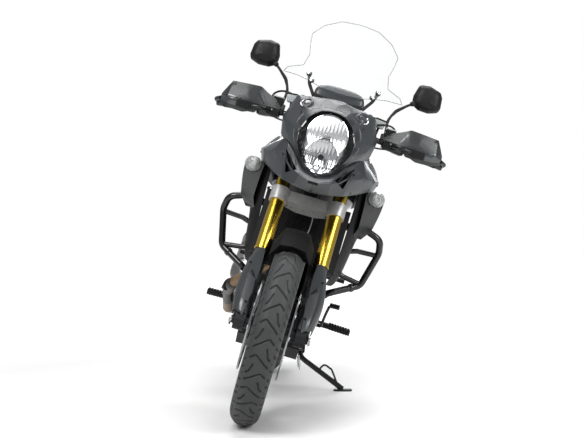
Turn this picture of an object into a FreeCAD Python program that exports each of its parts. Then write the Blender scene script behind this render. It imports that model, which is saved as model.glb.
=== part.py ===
"""An adventure motorcycle leaning on its side stand, as named pieces in one leaned frame."""
import FreeCAD
import Part
import math
import os

from FreeCAD import Vector

# Main sizes in millimetres. The upright frame has X to the rider's left, Y rearward from
# the front axle and Z up from the ground line under the tyres.
wheelbase = 1555.0
trail = 109.0
rake_angle = 25.5
lean_angle = 16.5
overrun = 400.0
fit_clearance = 0.05

# Tyres and wheels
front_tyre_radius = 329.0
front_tyre_half_width = 51.5
front_bead_radius = 245.0
front_bead_half_width = 36.0
rear_tyre_radius = 321.0
rear_tyre_half_width = 75.0
rear_bead_radius = 218.0
rear_bead_half_width = 57.0
tyre_wall = 12.0
bead_height = 13.0
bead_width = 10.0
flange_width = 5.0
flange_height = 11.0
rim_wall = 6.0
rim_well_depth = 19.0
rim_slope = 8.0
axle_radius = 12.5
axle_bore_radius = 8.0
front_hub_radius = 28.0
front_hub_half_width = 52.0
front_flange_radius = 50.0
rear_hub_radius = 38.0
rear_hub_half_width = 62.0
rear_flange_radius = 62.0
spoke_pairs = 5
spoke_pair_angle = 20.0
spoke_root_width = 22.0
spoke_root_depth = 44.0
spoke_tip_width = 13.0
spoke_tip_depth = 26.0

# Brakes
front_disc_radius = 155.0
front_disc_inner_radius = 120.0
front_disc_side = 67.0
disc_thickness = 5.0
disc_hub_radius = 46.0
disc_arm_width = 16.0
disc_arms = 5
disc_holes = 18
disc_hole_radius = 4.5
rear_disc_radius = 130.0
rear_disc_inner_radius = 98.0
rear_disc_side = 84.0
caliper_slot = 16.0
caliper_length = 104.0
caliper_depth = 54.0
caliper_width = 56.0
caliper_angle = 37.0
caliper_centre_radius = 144.0
rear_caliper_angle = 62.0

# Fork, measured along the steering axis from the front axle
fork_half_space = 105.5
fork_tube_offset = 10.2
outer_tube_radius = 27.0
outer_tube_top_radius = 25.0
inner_tube_radius = 21.5
lower_leg_radius = 27.0
lower_leg_low = -6.0
lower_leg_high = 105.0
outer_tube_low = 275.0
lower_clamp_low = 486.0
lower_clamp_high = 526.0
upper_clamp_low = 690.0
upper_clamp_high = 715.0
outer_tube_high = 728.0
clamp_wall = 8.0
clamp_ring_rise = 12.0
clamp_web_back = 34.0
stem_radius = 15.0
head_tube_radius = 30.0
head_tube_low = 535.0
head_tube_high = 680.0
axle_boss_radius = 30.0
axle_boss_inner = 88.0
axle_boss_outer = 124.0
axle_end = 134.0
spacer_radius = 19.0
spacer_inner = 66.5
guard_outer_radius = 38.0
guard_wall = 3.5
guard_low = 22.0
mudguard_radius = 347.0
mudguard_wall = 3.5
mudguard_half_width = 64.0
mudguard_front_angle = 34.0
mudguard_rear_angle = 80.0
mudguard_lug_half_width = 14.0
mudguard_lug_low = 236.0
mudguard_lug_high = 262.0
mudguard_arm_high = 305.0

# Drive
output_height = 415.0
output_place = 900.0
chain_pitch = 15.875
front_teeth = 17
rear_teeth = 41
chain_side = 95.0
chain_inner_half_gap = 5.0
chain_strip_width = 3.5
chain_half_height = 7.2
roller_radius = 5.0
sprocket_thickness = 7.0
pivot_place = 985.0
pivot_height = 400.0
pivot_radius = 20.0

# Tubes
bar_radius = 11.0
bar_middle_radius = 14.3
bar_bend = 45.0
grip_radius = 16.5
rail_radius = 12.5
crash_bar_radius = 13.0
crash_bar_bend = 38.0
rack_tube_radius = 10.0
exhaust_radius = 21.0
exhaust_bend = 62.0
muffler_radius = 62.0
peg_radius = 13.0
lever_radius = 6.0
mirror_stem_radius = 5.0
stand_loop_radius = 4.0
stand_foot_thickness = 7.0
stand_foot_length = 76.0
stand_foot_width = 40.0
thin_wall = 4.0

# Body, covers and stand
tank_bend = 46.0
seat_bend = 38.0
recess_radius = 20.0
recess_depth = 18.0
cover_bolts = 8
spring_turns = 9
peg_ribs = 7
stand_loop_height = 46.0

# Pieces that are already made, by name
finished = {}

# Tables of places, each number a share of the wheelbase
frame_beam_shares = (
    (0.20257, 0.00322, 0.02186, 0.51447, 0.58199), (0.2701, 0.03987, 0.05788, 0.51576, 0.56592),
    (0.36013, 0.06945, 0.08489, 0.45016, 0.50482), (0.61415, 0.06817, 0.07846, 0.36013, 0.41158),
)
pivot_plate_shares = (
    (0.61286, 0.41158), (0.66238, 0.39871), (0.67203, 0.25723), (0.64952, 0.21222), (0.61736, 0.17363),
    (0.56077, 0.1582), (0.56077, 0.18135), (0.61286, 0.20579),
)
pivot_plate_side_shares = (0.06817, 0.07846)
subframe_rail_shares = (
    (0.06945, 0.63344, 0.38585), (0.06688, 0.68167, 0.49518), (0.06431, 0.7717, 0.52412),
    (0.05531, 1.06109, 0.56077),
)
subframe_brace_shares = (
    (0.06881, 0.64309, 0.34084), (0.06559, 0.79743, 0.49839), (0.06431, 0.85531, 0.52862),
)
subframe_cross_shares = (
    (0.7717, 0.52412, 0.06431), (0.95177, 0.54701, 0.05833), (1.05145, 0.55949, 0.05563),
)
case_shares = (
    (0.30225, 0.21222), (0.33441, 0.17363), (0.51447, 0.16399), (0.56592, 0.1865), (0.5955, 0.21865),
    (0.5955, 0.30225), (0.61093, 0.34405), (0.63794, 0.34727), (0.63794, 0.37428), (0.59807, 0.37942),
    (0.51447, 0.36013), (0.39871, 0.33441), (0.30868, 0.27653),
)
case_half_width_share = 0.05273
case_bulge_shares = (
    (0.35048, 0.19293), (0.39871, 0.17685), (0.51447, 0.17685), (0.53891, 0.21222), (0.53891, 0.28296),
    (0.48875, 0.33441), (0.38585, 0.30868), (0.34727, 0.24437),
)
case_bulge_half_width_share = 0.08232
clutch_cover_shares = (
    (0, 0.05788), (0.09132, 0.05788), (0.09132, 0.05402), (0.09775, 0.05145), (0.09775, 0.03344),
    (0.10611, 0.02958), (0.10611, 0),
)
alternator_cover_shares = (
    (0, 0.05145), (0.08875, 0.05145), (0.08875, 0.04759), (0.09518, 0.04502), (0.09518, 0.0283),
    (0.10161, 0.02444), (0.10161, 0),
)
case_lug_shares = (0.62508, 0.36077, 0.01093, 0.06797)
crank_shares = (0.45016, 0.25723)
cylinder_shares = (
    (0.06174, 0.04244, 0.03987), (0.13183, 0.04244, 0.03987), (0.13183, 0.04887, 0.0463),
    (0.19293, 0.04887, 0.04244), (0.20193, 0.04244, 0.03601),
)
radiator_shares = (
    (0.21543, 0.36013), (0.24695, 0.51254), (0.2701, 0.50804), (0.23859, 0.35563),
)
radiator_half_width_share = 0.10289
header_front_shares = (
    (-0.03859, 0.2926, 0.36013), (-0.07203, 0.25981, 0.3164), (-0.12347, 0.30096, 0.2701),
    (-0.13312, 0.38585, 0.24566), (-0.12862, 0.51447, 0.19293), (-0.11833, 0.66238, 0.18264),
    (-0.12733, 0.76527, 0.25723),
)
header_rear_shares = (
    (-0.04502, 0.56592, 0.44502), (-0.10675, 0.60772, 0.44502), (-0.10804, 0.66559, 0.33441),
    (-0.11833, 0.6881, 0.19936),
)
muffler_shares = ((-0.12733, 0.76527, 0.25723), (-0.13762, 1.1254, 0.38585))
tank_shares = (
    (0.27653, 0.03987, 0.57878, 0.63666), (0.30868, 0.06688, 0.56077, 0.65981),
    (0.36013, 0.09389, 0.51768, 0.6881), (0.41801, 0.1209, 0.51447, 0.69711),
    (0.46945, 0.10932, 0.51125, 0.6791), (0.51447, 0.08232, 0.50482, 0.63344),
    (0.54662, 0.05788, 0.50804, 0.56592),
)
seat_shares = (
    (0.53762, 0.05916, 0.5119, 0.56849), (0.57878, 0.07203, 0.5119, 0.5582),
    (0.63023, 0.08232, 0.51447, 0.55434), (0.69453, 0.10289, 0.52219, 0.55691),
    (0.75884, 0.10161, 0.52862, 0.58199), (0.83601, 0.09646, 0.53762, 0.59293),
    (0.92605, 0.07588, 0.55048, 0.5955),
)
tail_shares = (
    (0.93248, 0.07717, 0.55177, 0.59164), (1.00322, 0.07588, 0.56077, 0.59293),
    (1.08682, 0.05916, 0.56849, 0.59035), (1.12219, 0.04502, 0.57363, 0.58778),
)
rack_rail_shares = (
    (0.08232, 0.75884, 0.54662), (0.10804, 0.82958, 0.59486), (0.10289, 0.96463, 0.60965),
    (0.07074, 1.09325, 0.60965), (0, 1.11125, 0.60965),
)
rack_cross_shares = ((0.93248, 0.60707, 0.10482), (1.05466, 0.60965, 0.08167))
rack_plate_shares = ((0.91961, 0.03987), (1.08682, 0.05016))
rack_plate_high_share = 0.61865
rack_plate_thickness_share = 0.00386
rack_bolt_half_space_share = 0.03215
rack_bolt_radius_share = 0.00212
rack_bolt_middle_share = 0.99357
tail_lamp_shares = (
    (1.12219, 0.57363), (1.12219, 0.58778), (1.13955, 0.58778), (1.14341, 0.57106),
)
tail_lamp_half_width_share = 0.0373
plate_holder_shares = (
    (1.06109, 0.5582), (1.06752, 0.57235), (1.10611, 0.57235), (1.15756, 0.51833), (1.26045, 0.41158),
    (1.25531, 0.36013), (1.25016, 0.36013), (1.25402, 0.409), (1.1537, 0.5119), (1.10354, 0.56077),
)
plate_holder_half_width_share = 0.03859
plate_shares = (
    (1.25531, 0.36013), (1.26045, 0.41158), (1.26206, 0.41158), (1.25691, 0.36013),
)
skid_shares = (
    (0.2701, 0.24437), (0.28682, 0.16077), (0.33441, 0.13183), (0.51447, 0.13183), (0.53376, 0.15113),
)
skid_half_width_share = 0.07717
headlamp_shares = (
    (0.56206, 0.00772, -0.009, -0.01093), (0.57106, 0.0283, -0.00129, -0.00772),
    (0.60193, 0.05209, 0.02058, 0.00579), (0.62251, 0.06238, 0.03023, 0.01415),
    (0.64952, 0.06559, 0.03987, 0.02572), (0.68296, 0.05273, 0.0463, 0.03859),
    (0.70225, 0.0283, 0.05016, 0.04695), (0.70547, 0.009, 0.05145, 0.0508),
)
lamp_lens_shares = ((0.65209, 0.03987, 0.02186), (0.60514, 0.03344, 0.00386))
screen_outline_shares = (
    (0, 0.76206), (0.04823, 0.76527), (0.07717, 0.77492), (0.10868, 0.78328), (0.14534, 0.78842),
    (0.13762, 0.80129), (0.10289, 0.81158), (0.09646, 0.84244), (0.10289, 0.86945), (0.10675, 0.89904),
    (0.0836, 0.92733), (0.04502, 0.94791), (0, 0.95241),
)
screen_line_shares = ((0.12862, 0.74598), (0.2701, 0.96463))
screen_radius_share = 0.21865
screen_post_shares = (
    (0.05659, 0.15434, 0.73955), (0.07588, 0.17106, 0.76913), (0.08296, 0.1865, 0.79228),
)
screen_pad_share = 0.14469
dash_shares = (
    (0.14277, 0.06431, 0.68296, 0.73955), (0.16077, 0.06302, 0.69453, 0.76013),
    (0.19035, 0.05659, 0.7074, 0.76527),
)
indicator_shares = (
    (0.18264, 0.00836, 0.00772), (0.18907, 0.01608, 0.01415), (0.20064, 0.02186, 0.01865),
    (0.21093, 0.02122, 0.01801), (0.21994, 0.01736, 0.01543),
)
crash_upper_shares = (
    (0.08746, 0.36013, 0.47717), (0.14534, 0.32476, 0.48682), (0.19228, 0.32476, 0.47074),
    (0.2, 0.35048, 0.43859), (0.17814, 0.3537, 0.34984), (0.10804, 0.32926, 0.31125),
    (0.07717, 0.36656, 0.28682),
)
crash_inner_shares = (
    (0.19421, 0.35241, 0.43215), (0.14727, 0.35048, 0.42958), (0.1209, 0.34727, 0.42122),
    (0.10675, 0.34469, 0.39743), (0.10932, 0.34598, 0.37299), (0.12605, 0.34855, 0.36013),
    (0.17492, 0.35305, 0.35305),
)
peg_shares = (
    (0.08232, 0.61608, 0.2135), (0.13891, 0.61222, 0.2135), (0.20064, 0.60707, 0.21222),
)
rear_peg_shares = (
    (0.08232, 0.7299, 0.33762), (0.10611, 0.73955, 0.33762), (0.15305, 0.73826, 0.33762),
)
hanger_shares = (
    (0.60965, 0.33441), (0.66881, 0.36013), (0.7492, 0.35048), (0.7492, 0.32476), (0.68167, 0.30225),
    (0.64952, 0.25723), (0.63344, 0.20064), (0.57621, 0.19807), (0.57621, 0.22251), (0.60772, 0.22508),
)
hanger_side_shares = (0.07846, 0.08489)
gear_lever_shares = (
    (0.12026, 0.58199, 0.21093), (0.12219, 0.54662, 0.24437), (0.12605, 0.51833, 0.27395),
    (0.15177, 0.51318, 0.27524),
)
brake_pedal_shares = (
    (-0.12026, 0.58199, 0.21093), (-0.12347, 0.54662, 0.21608), (-0.12605, 0.51447, 0.22637),
    (-0.15434, 0.50932, 0.22894),
)
swing_arm_shares = (
    (0.63344, 0.03987, 0.06431, 0.23923, 0.27524), (0.72669, 0.04244, 0.06559, 0.22508, 0.27267),
    (0.83601, 0.06174, 0.08232, 0.2045, 0.25595), (0.92605, 0.07203, 0.09003, 0.19293, 0.23537),
    (1.03537, 0.07203, 0.09003, 0.19035, 0.22637),
)
swing_cross_shares = (
    (0.66881, 0.23537), (0.66881, 0.27653), (0.71704, 0.27267), (0.71704, 0.22637),
)
shock_shares = (
    (0, 0.64695, 0.41158), (0, 0.68939, 0.27267), 0.01929, 0.01029, 0.6463, 0.39357,
)
chain_guard_foot_shares = (
    ((0.06174, 0.70482, 0.25981), (0.07074, 0.72412, 0.26752)),
    ((0.06817, 0.70482, 0.25981), (0.07074, 0.72412, 0.30547)),
    ((0.06817, 0.97428, 0.22508), (0.0746, 0.99357, 0.29068)),
)
chain_guard_shares = (
    (0.70096, 0.3074), (0.83601, 0.30868), (1.00322, 0.29068), (1.00322, 0.28682), (0.83601, 0.30482),
    (0.70096, 0.30354),
)
handlebar_shares = (
    (0, 0.23987, 0.6508), (0.04502, 0.23987, 0.6508), (0.10804, 0.25209, 0.69582),
    (0.27138, 0.28682, 0.68296),
)
grip_start_share = 0.18778
bar_clamp_shares = ((0.01929, 0.01286, 0.01286), (0.01158, 0.05145))
lever_shares = (
    (0.14662, 0.24695, 0.69325), (0.16849, 0.22637, 0.69196), (0.24823, 0.24051, 0.6836),
)
perch_share = 0.14662
reservoir_shares = (0.12605, 0.15177, 0.24309, 0.26752, 0.70354, 0.72797)
guard_bracket_shares = (
    (0.27395, 0.28682, 0.68296), (0.28682, 0.2701, 0.68424), (0.27267, 0.25209, 0.6881),
)
mirror_stem_shares = (
    (0.1299, 0.25981, 0.69325), (0.1254, 0.27267, 0.75113), (0.13762, 0.2881, 0.78071),
    (0.17492, 0.29968, 0.81158),
)
mirror_centre_shares = (0.2045, 0.30354, 0.83087)
stand_pivot_shares = (0.0836, 0.57878, 0.13505)
stand_foot_shares = (0.22251, 0.54662)
stand_axis_shares = (0.858, 0.275, 0.256)
stand_kink_share = 0.02315
stand_eye_shares = (0.01029, 0.00707, 0.00322, 0.00386)
cowl_stay_shares = (
    (0.17492, 0.54662), (0.1865, 0.58264), (0.16849, 0.62894), (0.15434, 0.6508), (0.07074, 0.6508),
    (0.07074, 0.62508), (0.13762, 0.61736), (0.1492, 0.57878), (0.1582, 0.54791),
)
cowl_stay_half_width_share = 0.01286
dash_stay_shares = (
    (0.14277, 0.64309), (0.14277, 0.68424), (0.16849, 0.7074), (0.16849, 0.64309),
)
skid_post_shares = ((0.03215, 0.47588, 0.13312), (0.0463, 0.50161, 0.17492))
sprocket_cover_shares = (
    (0.51447, 0.22637), (0.59678, 0.22637), (0.60579, 0.24759), (0.60579, 0.29068), (0.59486, 0.30868),
    (0.51447, 0.30868),
)
radiator_lug_shares = ((0.04244, 0.25209, 0.50161), (0.05402, 0.26495, 0.52219))
tank_lug_shares = ((0.04502, 0.28296, 0.54662), (0.05659, 0.29968, 0.59486))
tank_part_shares = ((0.46, 1.0), (1.0, 0.62), (0.84, 0.0))
filler_shares = (0.38585, 0.68424, 0.02572, 0.69839)
seat_part_shares = ((0.72, 1.0), (1.0, 0.55), (0.82, 0.0))
tail_part_shares = ((0.7, 1.0), (1.0, 0.6), (0.8, 0.0))
cowl_ring_shares = (
    ((0, 0.05016, 0.7074), (0, 0.08875, 0.74341), (0, 0.13183, 0.74598)),
    ((0.02701, 0.04887, 0.70354), (0.04887, 0.09518, 0.73376), (0.05016, 0.13376, 0.73826)),
    ((0.05145, 0.04502, 0.68296), (0.09132, 0.11318, 0.73183), (0.0926, 0.13762, 0.73312)),
    ((0.06431, 0.03859, 0.64952), (0.10868, 0.10161, 0.67653), (0.1119, 0.13891, 0.67524)),
    ((0.06109, 0.02894, 0.62251), (0.09775, 0.09003, 0.64051), (0.10418, 0.13248, 0.63666)),
    ((0.0508, 0.01929, 0.60193), (0.07717, 0.06431, 0.61736), (0.08617, 0.11576, 0.61608)),
    ((0.02701, -0.00322, 0.57106), (0.03473, 0.01029, 0.56977), (0.04759, 0.07074, 0.57235)),
    ((0, -0.0135, 0.55949), (0, -0.01222, 0.55434), (0, 0.03859, 0.55434)),
)
cowl_recess_shares = (0.06495, 0.07974, 0.71447)
headlamp_back_share = 0.09646
headlamp_part_shares = ((1.0, 0.0), (0.6, 0.7), (0.0, 1.0), (-0.6, 0.7), (-1.0, 0.0))
beak_shares = (
    ((0, -0.01286, 0.5537), (0, -0.03473, 0.53762), (0, -0.00772, 0.51961)),
    ((0.03473, 0.009, 0.56913), (0.03601, -0.01415, 0.55177), (0.0373, 0.00386, 0.52476)),
    ((0.07781, 0.06302, 0.61672), (0.07717, 0.03344, 0.57235), (0.07074, 0.03601, 0.53376)),
    ((0.09389, 0.11576, 0.62701), (0.11061, 0.09646, 0.58842), (0.10096, 0.09646, 0.54855)),
    ((0.09646, 0.16077, 0.63151), (0.13376, 0.16077, 0.59357), (0.12733, 0.16077, 0.5672)),
)
beak_part_shares = ((0, 1.4), (-0.5, 1.2), (-0.9, 1.0), (-1.3, 0.4), (-1.4, 0))
duct_shares = ((0.07974, 0.60193), (0.04244, 0.56077), (0.06559, 0.54791))
duct_slat_shares = ((0.05016, 0.01672, 0.55434), (0.07846, 0.04373, 0.58199))
nose_slot_shares = (0.01093, 0.53762, 0.54341, -0.05145, 0)
shroud_shares = (
    (0.16077, (0.09389, 0.6328), (0.09646, 0.63151), (0.13376, 0.59357), (0.12733, 0.5672)),
    (0.21543, (0.09839, 0.6328), (0.10804, 0.63023), (0.14277, 0.59936), (0.13119, 0.55691)),
    (0.28939, (0.09775, 0.63023), (0.11318, 0.62508), (0.14855, 0.60064), (0.13376, 0.55305)),
    (0.35048, (0.08489, 0.62508), (0.11576, 0.62251), (0.1492, 0.60064), (0.13248, 0.54791)),
    (0.41158, (0.10289, 0.66624), (0.11833, 0.65981), (0.14662, 0.62508), (0.12862, 0.54405)),
    (0.49518, (0.07717, 0.64051), (0.09646, 0.63666), (0.11961, 0.59293), (0.10804, 0.5299)),
)
side_panel_shares = (
    (0.61736, 0.52605), (0.69453, 0.52605), (0.78842, 0.53762), (0.81158, 0.52862), (0.75884, 0.4836),
    (0.68167, 0.42444), (0.62701, 0.42958), (0.59807, 0.46945),
)
side_panel_side_shares = (0.0791, 0.08167)
side_panel_boss_shares = ((0.70096, 0.49646), (0.76399, 0.51447))
wing_shares = (
    (0.56334, (0.12476, 0.21736), (0.16977, 0.21479), (0.16334, 0.32476)),
    (0.54019, (0.12733, 0.21994), (0.16977, 0.21608), (0.16206, 0.32154)),
    (0.51447, (0.12862, 0.22508), (0.16656, 0.22251), (0.15949, 0.31254)),
    (0.48232, (0.1299, 0.23666), (0.16077, 0.23537), (0.15434, 0.30482)),
    (0.45788, (0.12219, 0.26881), (0.14405, 0.2701), (0.14148, 0.29711)),
)
indicator_centre_shares = (0.14958, 0.55627)
handguard_shares = (
    (0.11833, (0.24952, 0.71318), (0.24437, 0.70225), (0.24823, 0.69132)),
    (0.16206, (0.23923, 0.72733), (0.23023, 0.69646), (0.23666, 0.69003)),
    (0.18457, (0.23537, 0.73955), (0.22508, 0.69711), (0.2328, 0.67974)),
    (0.21286, (0.23408, 0.73762), (0.22186, 0.69711), (0.23151, 0.66817)),
    (0.25402, (0.23923, 0.73441), (0.22508, 0.69196), (0.23537, 0.6701)),
    (0.27331, (0.25595, 0.70225), (0.24437, 0.69132), (0.2508, 0.68039)),
)
guard_inner_bracket_shares = ((0.14534, 0.25595, 0.69518), (0.13248, 0.24695, 0.70225))
mirror_outline_shares = (
    (-0.02765, 0.03087), (-0.00257, 0.03408), (0.02765, 0.02508), (0.03473, 0.01286),
    (0.0373, -0.01415), (0.0328, -0.02572), (0.01029, -0.03344), (-0.01608, -0.03215),
    (-0.03408, -0.02186), (-0.03601, 0),
)
mirror_depth_shares = (-0.01672, -0.01029, 0.00386, 0.009)
mirror_part_shares = (0.5, 0.84, 1.0, 0.97)
mirror_bend_share = 0.01029
fork_guard_shares = (
    (0.17363, 0.05531, 0.08232, 0.00257), (0.13441, 0.05209, 0.09325, 0.00514),
    (0.08553, 0.05402, 0.09968, 0.00643), (0.04309, 0.05916, 0.09453, 0.00643),
    (0.01865, 0.06174, 0.08939, 0.00514), (-0.02572, 0.06174, 0.08167, 0.00257),
)
heat_shield_shares = (0.33441, 0.44373)
muffler_part_shares = (
    (0, 0.42), (0.13, 1.0), (0.9, 1.0), (0.95, 0.9), (1.0, 0.8), (1.0, 0.4), (0.93, 0.4), (0.93, 0),
)
sprocket_cover_side_shares = (0.07138, 0.07974)
clutch_place_shares = (0.48875, 0.25402)
alternator_place_shares = (0.42444, 0.2508)
fin_shares = (
    (0.0746, 0.07717), (0.08489, 0.08746), (0.09518, 0.09775), (0.10547, 0.10804), (0.11576, 0.11833),
)
fin_margin_share = 0.0045
spring_shares = (0.02122, 0.00322)
axle_block_shares = (0.02572, 0.01736, 0.00322)
rear_indicator_shares = (
    (0.0373, 1.15113, 0.51447), (0.07717, 1.15498, 0.51833), (0.11061, 1.15756, 0.51961),
)
rear_indicator_radius_share = 0.0135
stand_loop_part_shares = (0.42, 0.56, 0.74, 0.88)
skid_slot_shares = (
    (0.36013, 0.00772), (0.39871, 0.00772), (0.4373, 0.00772), (0.47588, 0.00772),
)
skid_slot_half_share = 0.04502
radiator_tank_shares = (0.08617, 0.0045)
lower_clamp_ear_shares = (0.00836, 0.01286, 0.00386)
headlamp_bowl_share = 0.00322

# Derived sizes
def sine(angle):
    return math.sin(math.radians(angle))


def cosine(angle):
    return math.cos(math.radians(angle))


front_axle_height = front_tyre_radius - front_tyre_half_width + front_tyre_half_width / cosine(lean_angle)
rear_axle_height = rear_tyre_radius - rear_tyre_half_width + rear_tyre_half_width / cosine(lean_angle)
steering_offset = front_tyre_radius * sine(rake_angle) - trail * cosine(rake_angle)
rear_sprocket_radius = chain_pitch / (2 * sine(180 / rear_teeth))
front_sprocket_radius = chain_pitch / (2 * sine(180 / front_teeth))


def size(share):
    """A length from its share of the wheelbase."""
    return share * wheelbase


def at(place):
    """A point from three shares of the wheelbase."""
    return Vector(size(place[0]), size(place[1]), size(place[2]))


def along(places):
    return [at(place) for place in places]


def other_side(shape):
    """The same piece mirrored to the bike's right side."""
    return shape.mirror(Vector(0, 0, 0), Vector(1, 0, 0))


def both_sides(shape):
    return [shape, other_side(shape)]


def join(shapes):
    """One fused solid from touching or crossing shapes."""
    if len(shapes) == 1:
        return shapes[0]
    return shapes[0].multiFuse(shapes[1:]).removeSplitter()


def largest(shape):
    """The main solid of a cut, without slivers."""
    return sorted(shape.Solids, key=lambda one: one.Volume)[-1]


def rod(start, end, radius):
    return Part.makeCylinder(radius, (end - start).Length, start, end - start)


def rounded_path(points, bend):
    """Straight runs joined by arcs of one bend radius, smaller where a run is short."""
    edges = []
    last = points[0]
    for before, corner, after in zip(points, points[1:], points[2:]):
        back = (before - corner).normalize()
        ahead = (after - corner).normalize()
        half_turn = (math.pi - back.getAngle(ahead)) / 2
        shorter = min((before - corner).Length, (after - corner).Length)
        reach = min(bend * math.tan(half_turn), shorter / 2.2)
        radius = reach / math.tan(half_turn)
        start = corner + back * reach
        end = corner + ahead * reach
        middle = corner + (back + ahead).normalize() * (radius / math.cos(half_turn) - radius)
        edges.append(Part.LineSegment(last, start).toShape())
        edges.append(Part.Arc(start, middle, end).toShape())
        last = end
    edges.append(Part.LineSegment(last, points[-1]).toShape())
    return Part.Wire(edges)


def tube(points, radius, bend):
    """A round bar swept along a bent path."""
    if len(points) == 2:
        return rod(points[0], points[1], radius)
    path = rounded_path(points, bend)
    circle = Part.Wire(Part.makeCircle(radius, points[0], points[1] - points[0]))
    return path.makePipeShell([circle], True, True)


def face_of(points):
    return Part.Face(Part.makePolygon(points + [points[0]]))


def prism_x(places, low, high):
    """A side view outline of Y and Z shares, from one X length to another."""
    points = [Vector(low, size(y), size(z)) for y, z in places]
    return face_of(points).extrude(Vector(high - low, 0, 0))


def prism_y(places, low, high):
    """A front view outline of X and Z shares, from one Y length to another."""
    points = [Vector(size(x), low, size(z)) for x, z in places]
    return face_of(points).extrude(Vector(0, high - low, 0))


def box_between(low, high):
    return Part.makeBox(high.x - low.x, high.y - low.y, high.z - low.z, low)


def rounded_body(table, parts, bend):
    """A smooth body through sections of place, half width, low and high."""
    wires = []
    for y, half, low, high in table:
        right = []
        for across, up in parts:
            right.append(Vector(size(half) * across, size(y), size(low) + size(high - low) * up))
        wires.append(soft_outline(mirrored(right), bend))
    return Part.makeLoft(wires, True, False)


def polygon_body(sections):
    """A faceted body through closed outlines with equal numbers of points."""
    wires = [Part.makePolygon(points + [points[0]]) for points in sections]
    return Part.makeLoft(wires, True, True)


def revolve_x(profile, y, z):
    """A turned body from points of X and radius, about the axle line at one place."""
    points = [Vector(x, y + radius, z) for x, radius in profile]
    turned = face_of(points).revolve(Vector(0, y, z), Vector(1, 0, 0), 360)
    return turned


def ring_x(outer, inner, low, high, y, z):
    ring = Part.makeCylinder(outer, high - low, Vector(low, y, z), Vector(1, 0, 0))
    if inner > 0:
        hole = Part.makeCylinder(inner, high - low, Vector(low, y, z), Vector(1, 0, 0))
        ring = ring.cut(hole)
    return ring


def to_fork(shape):
    """Turn a piece drawn along Z into the fork's slope and put it on the front axle."""
    turned = shape.copy()
    turned.rotate(Vector(0, 0, 0), Vector(1, 0, 0), -rake_angle)
    turned.translate(Vector(0, 0, front_axle_height))
    return turned


# Wheels
def tyre(radius, half_width, bead_radius, bead_half_width, y, z):
    """A tyre turned from a many-sided section, with a corner where it stands when it leans."""
    centre = radius - half_width
    inner = half_width - tyre_wall
    top = bead_radius + bead_height
    inside = bead_half_width - bead_width
    outer_side = [(bead_half_width, bead_radius), (bead_half_width, top)]
    for angle in (0, 28, 54, 90 - lean_angle):
        outer_side.append((half_width * cosine(angle), centre + half_width * sine(angle)))
    inner_side = [(inside, bead_radius)]
    for angle in (0, 50):
        inner_side.append((inner * cosine(angle), centre + inner * sine(angle)))
    half = list(reversed(inner_side)) + outer_side
    profile = half + [(-x, r) for x, r in reversed(half)]
    return revolve_x(profile, y, z)


def rim_ring(bead_radius, bead_half_width, y, z):
    edge = bead_half_width + fit_clearance
    outer = edge + flange_width
    seat = bead_half_width - bead_width
    well = seat - rim_slope
    floor = bead_radius - rim_well_depth
    half = [(outer, bead_radius + flange_height), (edge, bead_radius + flange_height), (edge, bead_radius),
            (seat, bead_radius), (well, floor)]
    under = [(well + rim_wall, floor - rim_wall), (seat + rim_wall, bead_radius - rim_wall - rim_wall / 2),
             (outer, bead_radius - rim_wall)]
    profile = half + [(-x, r) for x, r in reversed(half)] + [(-x, r) for x, r in reversed(under)] + under
    return revolve_x(profile, y, z)


def spoke(root_radius, tip_radius, angle, y, z):
    root = Part.makePolygon([Vector(sx * spoke_root_depth / 2, sy * spoke_root_width / 2, root_radius)
                             for sx, sy in ((1, 1), (-1, 1), (-1, -1), (1, -1), (1, 1))])
    tip = Part.makePolygon([Vector(sx * spoke_tip_depth / 2, sy * spoke_tip_width / 2, tip_radius)
                            for sx, sy in ((1, 1), (-1, 1), (-1, -1), (1, -1), (1, 1))])
    arm = Part.makeLoft([root, tip], True, True)
    arm.rotate(Vector(0, 0, 0), Vector(1, 0, 0), angle)
    arm.translate(Vector(0, y, z))
    return arm


def wheel(bead_radius, bead_half_width, hub_radius, hub_half_width, flange_radius, sides, y, z):
    """A cast wheel: rim, paired spokes and a hub with a seat for what bolts to each side."""
    well = bead_radius - rim_well_depth - rim_wall / 2
    pieces = [rim_ring(bead_radius, bead_half_width, y, z)]
    barrel = ring_x(hub_radius, 0, -hub_half_width, hub_half_width, y, z)
    hub = barrel.fuse(ring_x(flange_radius, 0, hub_half_width, sides[0], y, z))
    hub = hub.fuse(ring_x(flange_radius, 0, -sides[1], -hub_half_width, y, z))
    pieces.append(hub)
    for pair in range(spoke_pairs):
        for turn in (-spoke_pair_angle / 2, spoke_pair_angle / 2):
            pieces.append(spoke(hub_radius - rim_wall, well, pair * 360 / spoke_pairs + turn, y, z))
    whole = join(pieces)
    return whole.cut(ring_x(axle_radius + fit_clearance, 0, -overrun, overrun, y, z))


def brake_disc(radius, inner_radius, hub_radius, low, high, y, z):
    rotor = ring_x(radius, inner_radius, low, high, y, z)
    hub = ring_x(hub_radius, hub_radius - disc_arm_width, low, high, y, z)
    pieces = [rotor, hub]
    for count in range(disc_arms):
        arm = Part.makeBox(high - low, disc_arm_width, inner_radius - hub_radius + disc_arm_width,
                           Vector(low, -disc_arm_width / 2, hub_radius - disc_arm_width / 2))
        arm.rotate(Vector(0, 0, 0), Vector(1, 0, 0), count * 360 / disc_arms)
        arm.translate(Vector(0, y, z))
        pieces.append(arm)
    holes = []
    for count in range(disc_holes):
        angle = count * 360 / disc_holes
        reach = inner_radius + (radius - inner_radius) * (0.3 + 0.2 * (count % 3))
        holes.append(ring_x(disc_hole_radius, 0, low - overrun / 4, high + overrun / 4,
                            y + reach * cosine(angle), z + reach * sine(angle)))
    return join(pieces).cut(Part.Compound(holes))


def front_tyre():
    return [tyre(front_tyre_radius, front_tyre_half_width, front_bead_radius, front_bead_half_width,
                 0, front_axle_height)]


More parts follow.
